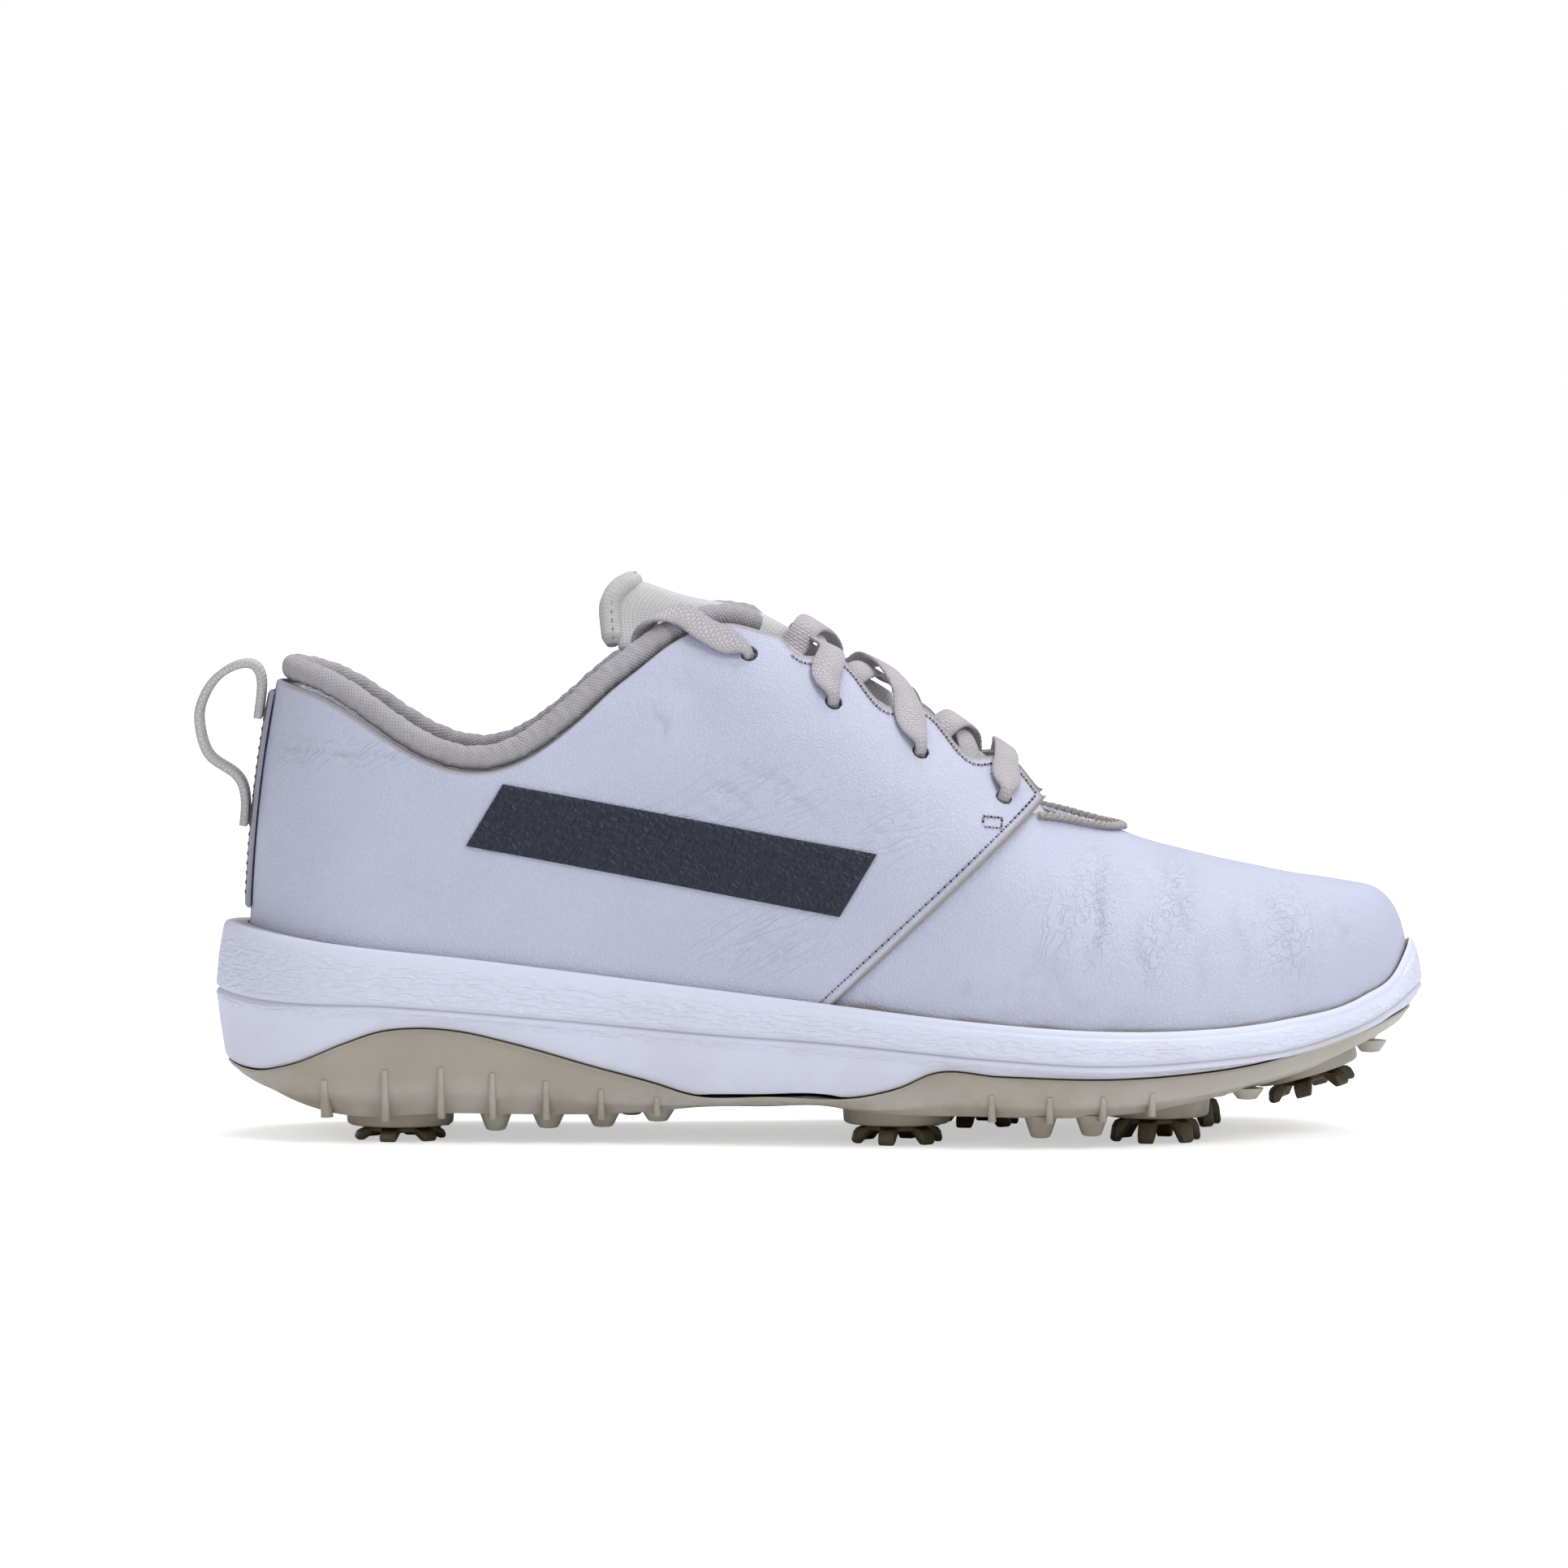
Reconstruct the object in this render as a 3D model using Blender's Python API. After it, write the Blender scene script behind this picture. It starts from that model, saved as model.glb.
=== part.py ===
"""Right golf shoe: leather upper on a foam cup, clear outsole with seven twist-lock cleats.

Lengths below are millimetres. A station is a distance from the heel's rearmost point
towards the toe; +y is the inner (medial) side of the foot and +z is up. The world's
origin is on the ground under the middle of the shoe's box.
"""

import math

import bmesh
import bpy
import numpy as np
from mathutils import Vector

MM = 0.001
OUTER, INNER = -1, 1  # the two sides of a right shoe: outer is -y, inner is +y

# The world's x = 0 and y = 0, as a station and a width.
MID_STATION = 148.8
MID_WIDTH = -1.9

# Plan of the upper where it meets the footbed, from heel to toe, (station, width).
PLAN_OUTER = [
    (10.5, 0), (15.5, -16), (30, -28.5), (55, -33.5), (90, -34.5), (125, -37.5),
    (160, -43.5), (190, -49), (215, -50), (240, -46), (262, -37.5), (280, -25), (293.5, -8),
]
PLAN_INNER = [
    (298.5, 8), (294.5, 24), (283, 36), (265, 43.5), (240, 46.5), (215, 45.5),
    (185, 40), (150, 32.5), (120, 29), (90, 29), (55, 31.5), (30, 27.5), (15.5, 16),
]
TOE_TIP = 298.5
HEEL_END = 10.5

# Heights along the shoe, (station, height).
BED = [(0, 40), (45, 37.5), (100, 34), (150, 29.5), (200, 24.5), (235, 23.5), (260, 26),
       (280, 30.5), (302, 37)]
RIDGE = [(53, 172), (80, 158), (100, 145), (112, 139.6), (125, 135.6), (140, 130.5), (155, 121),
         (170, 112), (185, 102), (200, 91.5), (215, 81), (230, 74), (250, 68.6), (270, 64.4),
         (284, 61.9)]
RIDGE_WIDTH = [(53, 0), (100, 0), (150, 1), (200, 2), (250, 5), (284, 9)]
ROUNDNESS = [(53, 2.0), (100, 2.1), (140, 2.2), (175, 2.15), (205, 2.1), (235, 2.15),
             (260, 2.3), (284, 2.5)]
RIM = [(6, 54), (30, 50), (68, 45.7), (103, 41.4), (153, 35.6), (190, 31.5), (221, 29.3),
       (240, 29.2), (264, 31.1), (285, 35.8), (294, 41), (299, 48.9)]
GROOVE = [(0, 40.6), (6, 37.8), (14, 35.9), (45, 34.4), (88, 31), (125, 27.8), (153, 26.1),
          (195, 22.4), (218, 20.9), (240, 21.5), (273, 25.7), (288, 31), (302, 39.8)]
SOLE_LINE = [(0, 30), (5, 24.5), (11, 19), (16.3, 17.7), (23.4, 19.4), (35, 25), (43, 28.1),
             (51.7, 29.1), (61.4, 28.5), (75, 25.5), (96, 19.6), (110.5, 15.8), (119, 13.2),
             (139, 12.9), (164, 13.5), (171, 15.4), (179, 19), (195, 18.4), (224, 17.7),
             (240, 18.6), (259, 21), (273, 24.5), (288, 28.5), (302, 33)]
UNDERSIDE = [(2, 21), (12, 14.5), (20, 10.2), (28, 7.6), (60, 7.2), (108, 7.6), (122, 9),
             (137, 9.3), (152, 9.6), (160, 8.4), (190, 7.6), (215, 7.4), (230, 8.5),
             (245, 11), (260, 14.2), (275, 18), (290, 23.5), (302, 28)]

# How far the midsole stands out from the upper's plan, (station, margin).
MARGIN = [(8, 10.3), (40, 8.2), (80, 7.2), (150, 6.6), (200, 6.2), (250, 5.4), (285, 4.2),
          (298.5, 3.4)]

# The foot opening's padded roll and the lacing edge, in side view, (station, height).
COLLAR = [(18.8, 116.6), (27.3, 114.2), (35.8, 109.9), (43.9, 104.4), (53, 98.8),
          (61.2, 95.8), (68, 95.3), (76.2, 97.6), (84.5, 102.9), (91, 108.3), (97.4, 114.2),
          (103.9, 119.2), (110.5, 124.3), (117.6, 128.2), (124.7, 130.4), (131.2, 130.2),
          (137, 128.6)]
ROLL_RADIUS = 3.15
ROLL_CLEARANCE = 3.7
ROLL_LIFT = -1.5
EYELETS = [(133.3, 119.6), (153.9, 107.7), (175.3, 95.6), (195.6, 84.1)]
EYELET_RADIUS = 2.3
SEAM_TOP = (206.5, 84.0)
SEAM_FOOT = (148.5, 30.2)

# Layers of the upper: distance of each outer face from the shoe's base surface.
QUARTER_LIFT, QUARTER_THICK = 1.8, 1.2
VAMP_LIFT, VAMP_THICK = 0.0, 1.2
UNDERLAY_LIFT, UNDERLAY_THICK = -0.75, 0.8
FILLER_LIFT, FILLER_THICK = -1.7, 1.0
HEEL_FILLER_LIFT = -1.1
LINING_LIFT, LINING_THICK = -3.7, 1.0
TONGUE_THICK = 2.4

# Sole layers.
SOLE_THICK = 3.0
PLAY = 0.5

# Cleats: (name, station, width). A pod is the outsole's round boss round a cleat.
CLEATS = [
    ("heel_outer", 47, -17.5), ("heel_inner", 47, 16.5), ("ball_outer", 170, -27),
    ("ball_inner", 190, 21), ("fore_outer", 234, -22), ("fore_inner", 241, 21.5),
    ("toe", 273, 4),
]
POD_RADIUS = 13.2
POD_DEPTH = 2.8
SOCKET_RADIUS = 8.4
SOCKET_DEPTH = 4.6
BORE_RADIUS = 4.6
POST_RADIUS = 4.1
CLEAT_LEGS = 6
CLEAT_REACH = 11.4

LACE_WIDTH, LACE_THICK = 7.0, 1.3


# ---------------------------------------------------------------- smooth lines

def natural_spline(points):
    """A smooth function through (x, y) points: a cubic spline, straight at its ends."""
    x, y = np.array(points, float).T
    n, h = len(x), np.diff(x)
    system, right = np.eye(n), np.zeros(n)
    for i in range(1, n - 1):
        system[i, i - 1:i + 2] = h[i - 1], 2 * (h[i - 1] + h[i]), h[i]
        right[i] = 6 * ((y[i + 1] - y[i]) / h[i] - (y[i] - y[i - 1]) / h[i - 1])
    bend = np.linalg.solve(system, right)

    def value(at):
        at = np.clip(at, x[0], x[-1])
        i = np.clip(np.searchsorted(x, at) - 1, 0, n - 2)
        a, b = (x[i + 1] - at) / h[i], (at - x[i]) / h[i]
        cubic = (a**3 - a) * bend[i] + (b**3 - b) * bend[i + 1]
        return a * y[i] + b * y[i + 1] + cubic * h[i]**2 / 6
    return value


def local_curve(points):
    """A function through (x, y) points whose slope at each comes from its neighbours."""
    x, y = np.array(points, float).T
    slope = np.gradient(y, x)

    def value(at):
        at = np.clip(at, x[0], x[-1])
        i = np.clip(np.searchsorted(x, at) - 1, 0, len(x) - 2)
        h = x[i + 1] - x[i]
        t = (at - x[i]) / h
        ends = y[i] * (1 + 2 * t) * (1 - t)**2 + y[i + 1] * t * t * (3 - 2 * t)
        return ends + h * (slope[i] * t * (1 - t)**2 - slope[i + 1] * t * t * (1 - t))
    return value


def smoothstep(low, high, x):
    t = np.clip((x - low) / (high - low), 0, 1)
    return t * t * (3 - 2 * t)


bed_height = natural_spline(BED)
ridge_height = natural_spline(RIDGE)
ridge_width = natural_spline(RIDGE_WIDTH)
roundness = natural_spline(ROUNDNESS)
rim_height = local_curve(RIM)
groove_height = local_curve(GROOVE)
line_height = local_curve(SOLE_LINE)
underside = local_curve(UNDERSIDE)
margin = local_curve(MARGIN)
collar_height = natural_spline(COLLAR)


# ---------------------------------------------------------------- the shoe's base surface

def ring_splines():
    """x(r) and y(r) of the plan: r runs 0 to 1 along the outer side, 1 to 2 back along the inner."""
    outer, inner = np.array(PLAN_OUTER, float), np.array(PLAN_INNER, float)
    loop = np.concatenate([outer, inner])
    step = np.linalg.norm(np.diff(np.concatenate([loop, loop[:1]]), axis=0), axis=1)
    along = np.concatenate([[0], np.cumsum(step)])
    toe = along[len(outer)]
    knots = np.where(along <= toe, along / toe, 1 + (along - toe) / (along[-1] - toe))
    wrap = 4
    t = np.concatenate([knots[-1 - wrap:-1] - 2, knots, knots[1:1 + wrap] + 2])
    closed = np.concatenate([loop, loop[:1]])
    points = np.concatenate([closed[-1 - wrap:-1], closed, closed[1:1 + wrap]])
    return [natural_spline(np.column_stack([t, points[:, k]])) for k in (0, 1)]


plan_x, plan_y = ring_splines()


def plan(r):
    r = np.mod(r, 2)
    return plan_x(r), plan_y(r)


def plan_normal(r):
    """The plan's outward normal."""
    step = 0.004
    (ax, ay), (bx, by) = plan(r - step), plan(r + step)
    length = np.hypot(bx - ax, by - ay)
    return (by - ay) / length, (ax - bx) / length


def side_table(side):
    r = np.linspace(0, 1, 600) if side == OUTER else np.linspace(2, 1, 600)
    return np.maximum.accumulate(plan(r)[0]), r


TABLES = {side: side_table(side) for side in (OUTER, INNER)}


def ring_of(side, station):
    """The ring value r at which the plan reaches this station on this side."""
    return np.interp(station, *TABLES[side])


def ridge_station(station):
    """The station on the ridge that a wall column leads to: the same, drawn in at both ends."""
    heel = np.clip((station - HEEL_END) / (95 - HEEL_END), 0, 1)
    toe = np.clip((station - 235) / (TOE_TIP - 235), 0, 1)
    drawn = np.where(station < 95, 53 + 42 * heel**2.012, station)
    return np.where(station > 235, 284 - 49 * (1 - toe)**1.296, drawn)


def base(r, phi):
    """A rounded wall: phi runs from 0 at the footbed to a right angle on the ridge."""
    x, y = plan(r)
    top = ridge_station(x)
    power = 2 / roundness(top)
    across = 1 - np.cos(phi)**power
    low = bed_height(x)
    return np.stack([
        x + (top - x) * across,
        y + (ridge_width(top) - y) * across,
        low + (ridge_height(top) - low) * np.sin(phi)**power,
    ], axis=-1)


def upper(r, phi, lift):
    """A point this far outside the base surface."""
    r, phi, lift = np.broadcast_arrays(np.asarray(r, float), phi, lift)
    step, most = 1e-3, math.pi / 2
    phi = np.clip(phi, 0, most)
    inner_phi = np.clip(phi, 0.03, most - 0.06)
    along = base(r + step, inner_phi) - base(r - step, inner_phi)
    up = base(r, inner_phi + step) - base(r, inner_phi - step)
    normal = np.cross(along, up)
    normal /= np.linalg.norm(normal, axis=-1, keepdims=True)
    top = ridge_station(plan(r)[0])
    tilt = ridge_height(top + 0.5) - ridge_height(top - 0.5)
    crest = np.stack([-tilt, np.zeros_like(tilt), np.ones_like(tilt)], axis=-1)
    crest /= np.linalg.norm(crest, axis=-1, keepdims=True)
    near_top = smoothstep(math.radians(78), math.radians(90), phi)[..., None]
    normal = normal * (1 - near_top) + crest * near_top
    normal /= np.linalg.norm(normal, axis=-1, keepdims=True)
    return base(r, phi) + normal * lift[..., None]


def phi_at(station, height):
    """The wall angle at which a column that starts at this station reaches this height."""
    top = ridge_station(station)
    low = bed_height(station)
    part = np.clip((height - low) / (ridge_height(top) - low), 0, 1)
    return np.arcsin(part**(roundness(top) / 2))


def locate(side, x, z):
    """(r, phi) of the point that side view puts at station x and height z."""
    x, z = np.broadcast_arrays(np.asarray(x, float), np.asarray(z, float))
    station = x.copy()
    for _ in range(30):
        phi = phi_at(station, z)
        across = 1 - np.cos(phi)**(2 / roundness(ridge_station(station)))
        reached = station + (ridge_station(station) - station) * across
        station = np.clip(station + 0.7 * (x - reached), HEEL_END, TOE_TIP)
    return ring_of(side, station), phi_at(station, z)


# ---------------------------------------------------------------- building objects

def world(points):
    points = np.asarray(points, float)
    return (points - np.array([MID_STATION, MID_WIDTH, 0])) * MM


def material(name, colour, roughness, metallic=0.0):
    made = bpy.data.materials.new(name)
    made.use_nodes = True
    shader = made.node_tree.nodes["Principled BSDF"]
    shader.inputs["Base Color"].default_value = (*colour, 1)
    shader.inputs["Roughness"].default_value = roughness
    shader.inputs["Metallic"].default_value = metallic
    made.diffuse_color = (*colour, 1)
    return made


def make_object(name, bm, paint, smooth=True):
    bmesh.ops.recalc_face_normals(bm, faces=bm.faces)
    mesh = bpy.data.meshes.new(name)
    bm.to_mesh(mesh)
    bm.free()
    if smooth:
        mesh.shade_smooth()
        mesh.set_sharp_from_angle(angle=math.radians(40))
    obj = bpy.data.objects.new(name, mesh)
    bpy.context.scene.collection.objects.link(obj)
    mesh.materials.append(material(name, *paint))
    return obj


def grid_mesh(points):
    """A bmesh of quads over a (rows, columns, 3) array of world points."""
    bm = bmesh.new()
    rows, columns = points.shape[:2]
    verts = [[bm.verts.new(points[i, j]) for j in range(columns)] for i in range(rows)]
    for i in range(rows - 1):
        for j in range(columns - 1):
            bm.faces.new([verts[i][j], verts[i + 1][j], verts[i + 1][j + 1], verts[i][j + 1]])
    return bm


def sheet(name, points, thickness, paint, outward):
    """A sheet of this thickness whose outer face runs through the points; outward gives
    roughly its way out."""
    bm = grid_mesh(world(points))
    bmesh.ops.remove_doubles(bm, verts=bm.verts, dist=0.02 * MM)
    bmesh.ops.recalc_face_normals(bm, faces=bm.faces)
    bm.normal_update()
    if sum(face.normal.dot(outward(face.calc_center_median())) for face in bm.faces) < 0:
        bmesh.ops.reverse_faces(bm, faces=bm.faces)
    mesh = bpy.data.meshes.new(name)
    bm.to_mesh(mesh)
    bm.free()
    mesh.shade_smooth()
    mesh.set_sharp_from_angle(angle=math.radians(40))
    obj = bpy.data.objects.new(name, mesh)
    bpy.context.scene.collection.objects.link(obj)
    mesh.materials.append(material(name, *paint))
    solid = obj.modifiers.new("thickness", "SOLIDIFY")
    solid.thickness = thickness * MM
    solid.offset = -1
    return obj


def from_last(centre):
    """Away from the foot: sideways and up from a line inside the shoe."""
    away = centre.copy()
    away.x *= 0.2
    away.z -= 0.04
    return away


def tube(name, points, radius, paint, resolution=2):
    """A round roll or cord along the points, with closed ends."""
    curve = bpy.data.curves.new(name, "CURVE")
    curve.dimensions = "3D"
    curve.bevel_depth = radius * MM
    curve.bevel_resolution = resolution
    curve.use_fill_caps = True
    spline = curve.splines.new("POLY")
    points = world(points)
    spline.points.add(len(points) - 1)
    for point, place in zip(spline.points, points):
        point.co = (*place, 1)
    obj = bpy.data.objects.new(name, curve)
    bpy.context.scene.collection.objects.link(obj)
    curve.materials.append(material(name, *paint))
    return obj


def helper(name, bm):
    """A cutting or adding shape that is not a piece of the shoe."""
    obj = make_object(name, bm, ((0.5, 0.5, 0.5), 0.5), smooth=False)
    obj.hide_render = True
    obj.display_type = "WIRE"
    return obj


def boolean(obj, other, operation):
    change = obj.modifiers.new(operation.lower(), "BOOLEAN")
    change.object = other
    change.operation = operation
    change.solver = "EXACT"


# ---------------------------------------------------------------- sole

HALF = 30
EVEN = np.arange(HALF) / HALF
ENDS_CLOSE = 0.55 * EVEN + 0.45 * (1 - np.cos(math.pi * EVEN)) / 2
RING = np.concatenate([ENDS_CLOSE, 1 + ENDS_CLOSE])


def sole_ring(inset, height):
    """A ring this far inside the midsole's widest line; height is a function of station."""
    x, y = plan(RING)
    nx, ny = plan_normal(RING)
    out = margin(x) - inset
    x, y = x + nx * out, y + ny * out
    return np.stack([x, y, height(x)], axis=-1)


def loft(name, rings, paint):
    """Closed solid from rings, bottom to top; ladders of faces fill the first and last."""
    bm = bmesh.new()
    loops = [[bm.verts.new(point) for point in world(ring)] for ring in rings]
    count = len(loops[0])
    for low, high in zip(loops, loops[1:]):
        for i in range(count):
            k = (i + 1) % count
            bm.faces.new([low[i], low[k], high[k], high[i]])
    for loop in (loops[0], loops[-1]):
        for i in range(count // 2):
            corners = [loop[i], loop[i + 1], loop[(count - i - 1) % count], loop[-i % count]]
            bm.faces.new(list(dict.fromkeys(corners)))
    return make_object(name, bm, paint)


def midsole_bottom(x):
    return underside(x) + SOLE_THICK + PLAY


def cup_lift(x):
    """How far the cup's inner wall stands off the base surface: clear of quarter or vamp."""
    return 2.4 - 1.8 * smoothstep(152, 168, x)


def cup_ring(height):
    """The cup's inner wall at this height: the upper's outside, plus play."""
    station = plan(RING)[0]
    return upper(RING, phi_at(station, height(station)), cup_lift(station))


def build_midsole():
    loft("midsole", [
        sole_ring(15, midsole_bottom),
        sole_ring(7.6, lambda x: 0.7 * midsole_bottom(x) + 0.3 * line_height(x)),
        sole_ring(6.0, lambda x: np.maximum(line_height(x) - 0.3, midsole_bottom(x) + 0.2)),
        sole_ring(3.2, lambda x: np.maximum(line_height(x) + 0.1, midsole_bottom(x) + 0.4)),
        sole_ring(1.2, lambda x: 0.55 * line_height(x) + 0.45 * groove_height(x)),
        sole_ring(0.0, groove_height),
        sole_ring(0.7, lambda x: 0.5 * groove_height(x) + 0.5 * rim_height(x)),
        sole_ring(2.2, lambda x: rim_height(x) - 1.6),
        sole_ring(3.6, rim_height),
        cup_ring(lambda x: rim_height(x) - 0.5),
        cup_ring(bed_height) - np.array([0, 0, PLAY]),
    ], ((0.72, 0.75, 0.86), 0.55))


def frustum(bm, centre, top_radius, base_radius, height, sides, sink=0.8):
    """A blunt cone that hangs from centre, its wide end let into the sole by sink."""
    rings = []
    for radius, z in ((base_radius, sink), (top_radius, -height)):
        rings.append([
            bm.verts.new(world([
                centre[0] + radius * math.cos(2 * math.pi * (k + 0.5) / sides),
                centre[1] + radius * math.sin(2 * math.pi * (k + 0.5) / sides),
                centre[2] + z,
            ])) for k in range(sides)
        ])
    wide, narrow = rings
    for k in range(sides):
        n = (k + 1) % sides
        bm.faces.new([wide[k], wide[n], narrow[n], narrow[k]])
    bm.faces.new(wide)
    bm.faces.new(narrow)


def tilt_at(x):
    """The underside's slope as an angle."""
    return math.atan2(float(underside(x + 6) - underside(x - 6)), 12)


def cleat_frame(x, y):
    """(centre of the pod's flat face, angle about y) of the cleat at this place."""
    return np.array([x, y, float(underside(x)) - POD_DEPTH]), (tilt_at(x) if x > 255 else 0.0)


def cylinder(bm, centre, angle, low, high, radius, sides):
    """A cylinder about the cleat's own axis, from low to high above the pod's face."""
    sine, cosine = math.sin(angle), math.cos(angle)
    rings = []
    for level in (low, high):
        ring = []
        for k in range(sides):
            turn = 2 * math.pi * k / sides
            a, b = radius * math.cos(turn), radius * math.sin(turn)
            ring.append(bm.verts.new(world([
                centre[0] + a * cosine - level * sine,
                centre[1] + b,
                centre[2] + a * sine + level * cosine,
            ])))
        rings.append(ring)
    for k in range(sides):
        n = (k + 1) % sides
        bm.faces.new([rings[0][k], rings[0][n], rings[1][n], rings[1][k]])
    bm.faces.new(rings[0])
    bm.faces.new(rings[1])


EDGE_LUGS = [(71, 4.0), (84, 3.2), (97.5, 3.0), (111, 2.4), (205, 4.6), (217.5, 4.4),
             (256, 2.0), (288, 2.2)]
MIDDLE_LUGS = [(84, 0), (104, 0), (212, -6), (214, 8), (256, 1)]
RIBS = [30.5, 44.3, 57.8, 70.4, 83.6, 97.2, 111, 193, 207, 220, 232]


def rib(bm, side, x):
    """A wedge on the outsole's wall, wider towards the ground."""
    r = ring_of(side, x)
    foot = float(underside(x))
    head = 0.45 * foot + 0.55 * float(line_height(x))
    loops = []
    for height, half, low_out, high_out in ((foot - 0.6, 1.9, 8.4, 4.4), (head, 0.7, 5.6, 4.0)):
        loop = []
        for along, inset in ((-half, low_out), (half, low_out), (half, high_out), (-half, high_out)):
            ring = ring_of(side, x + along)
            px, py = plan(ring)
            nx, ny = plan_normal(ring)
            out = float(margin(x)) - inset
            loop.append(bm.verts.new(world(np.array([float(px + nx * out), float(py + ny * out), height]))))
        loops.append(loop)
    for k in range(4):
        n = (k + 1) % 4
        bm.faces.new([loops[0][k], loops[0][n], loops[1][n], loops[1][k]])
    bm.faces.new(loops[0])
    bm.faces.new(loops[1])


def build_outsole():
    sole = loft("outsole", [
        sole_ring(14.5, underside),
        sole_ring(8.5, lambda x: underside(x) + 0.4),
        sole_ring(5.2, lambda x: 0.72 * underside(x) + 0.28 * line_height(x)),
        sole_ring(3.2, lambda x: np.maximum(line_height(x) - 0.9, underside(x) + 1.6)),
        sole_ring(3.3, lambda x: np.maximum(line_height(x) - 0.35, underside(x) + 2.2)),
        sole_ring(5.4, lambda x: np.maximum(line_height(x) - 1.0, midsole_bottom(x) - 0.6)),
        sole_ring(6.9, lambda x: 0.7 * midsole_bottom(x) + 0.3 * line_height(x) - 1.3),
        sole_ring(15, lambda x: midsole_bottom(x) - 0.7),
    ], ((0.42, 0.41, 0.36), 0.35))
    more = bmesh.new()
    for side in (OUTER, INNER):
        for x, drop in EDGE_LUGS:
            r = ring_of(side, x)
            px, py = plan(r)
            inward = 5.5 if x < 280 else 10
            frustum(more, (float(px), float(py) - side * inward, float(underside(px))), 2.3, 4.2, drop, 6)
    for side in (OUTER, INNER):
        for x in RIBS:
            rib(more, side, x)
    for x, y in MIDDLE_LUGS:
        frustum(more, (x, y, float(underside(x))), 2.2, 4.2, 3.0, 6)
    for _, x, y in CLEATS:
        centre, angle = cleat_frame(x, y)
        cylinder(more, centre, angle, 0, 4.4, POD_RADIUS, 20)
    boolean(sole, helper("outsole_bosses", more), "UNION")
    cuts = bmesh.new()
    for _, x, y in CLEATS:
        centre, angle = cleat_frame(x, y)
        cylinder(cuts, centre, angle, -3, SOCKET_DEPTH + 0.3, SOCKET_RADIUS + 0.3, 16)
    boolean(sole, helper("outsole_sockets", cuts), "DIFFERENCE")


def turned(name, profile, paint, centre, angle, sides=16):
    """A closed ring or disc turned about the cleat's axis from (radius, level) corners."""
    bm = bmesh.new()
    loops = []
    for radius, level in profile:
        loops.append([
            bm.verts.new((
                radius * math.cos(2 * math.pi * k / sides) * MM,
                radius * math.sin(2 * math.pi * k / sides) * MM,
                level * MM,
            )) for k in range(sides)
        ])
    for low, high in zip(loops, loops[1:] + loops[:1]):
        for k in range(sides):
            n = (k + 1) % sides
            bm.faces.new([low[k], low[n], high[n], high[k]])
    obj = make_object(name, bm, paint)
    obj.location = world(centre)
    obj.rotation_euler = (0, -angle, 0)
    return obj


def build_receptacle(name, centre, angle):
    turned("receptacle_" + name, [
        (SOCKET_RADIUS, 0.3), (SOCKET_RADIUS, SOCKET_DEPTH), (BORE_RADIUS, SOCKET_DEPTH),
        (BORE_RADIUS, 0.3),
    ], ((0.25, 0.25, 0.25), 0.5), centre, angle)


def build_cleat(name, centre, angle):
    """Post, disc and down-turned legs as one star-shaped turning about the cleat's axis."""
    bm = bmesh.new()
    per_leg = 4
    count = CLEAT_LEGS * per_leg
    leg = np.tile([1.0, 1.0, 0.0, 0.0], CLEAT_LEGS)
    turn = 2 * math.pi * (np.arange(count) + 0.5) / count
    drop = centre[2] if angle == 0 else 4.8
    rings = [
        (np.full(count, POST_RADIUS), np.full(count, 4.2)),
        (np.full(count, POST_RADIUS), np.full(count, -0.35)),
        (7.6 + (CLEAT_REACH - 8.8) * leg, -0.35 - 0.9 * leg),
        (7.9 + (CLEAT_REACH - 7.9) * leg, -1.4 - (drop - 2.4) * leg),
        (7.8 + (CLEAT_REACH - 8.3) * leg, -1.5 - (drop - 1.5) * leg),
        (7.7 + (CLEAT_REACH - 9.3) * leg, -1.6 - (drop - 1.6) * leg),
        (np.full(count, 6.2), np.full(count, -1.9)),
    ]
    loops = [
        [bm.verts.new((radius[k] * math.cos(turn[k]) * MM, radius[k] * math.sin(turn[k]) * MM,
                       level[k] * MM)) for k in range(count)]
        for radius, level in rings
    ]
    for low, high in zip(loops, loops[1:]):
        for k in range(count):
            n = (k + 1) % count
            bm.faces.new([low[k], low[n], high[n], high[k]])
    bm.faces.new(loops[0])
    bm.faces.new(loops[-1])
    obj = make_object("cleat_" + name, bm, ((0.06, 0.05, 0.035), 0.45))
    obj.location = world(centre)
    obj.rotation_euler = (0, -angle, 0)


def footbed_plate(name, low, high, inset, paint):
    """A flat plate inside the upper, from low to high above the footbed line."""
    def ring(level, more):
        x, y = plan(RING)
        nx, ny = plan_normal(RING)
        x, y = x - nx * (inset + more), y - ny * (inset + more)
        return np.stack([x, y, bed_height(x) + level], axis=-1)
    middle = (low + high) / 2
    loft(name, [ring(low, 0.4), ring(middle, 0.0), ring(high, 0.7)], paint)


# ---------------------------------------------------------------- upper

LEATHER = ((0.66, 0.68, 0.82), 0.5)
FABRIC = ((0.62, 0.58, 0.58), 0.85)
LINING = ((0.6, 0.62, 0.7), 0.9)
STIFFENER = ((0.75, 0.72, 0.62), 0.7)


def lacing_height(x):
    """The scalloped lacing edge: a falling line with one wave for each eyelet."""
    return 118.4 - 0.6 * (x - 151) + 2.3 * np.cos(2 * math.pi * (x - 155.5) / 20.9)


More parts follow.
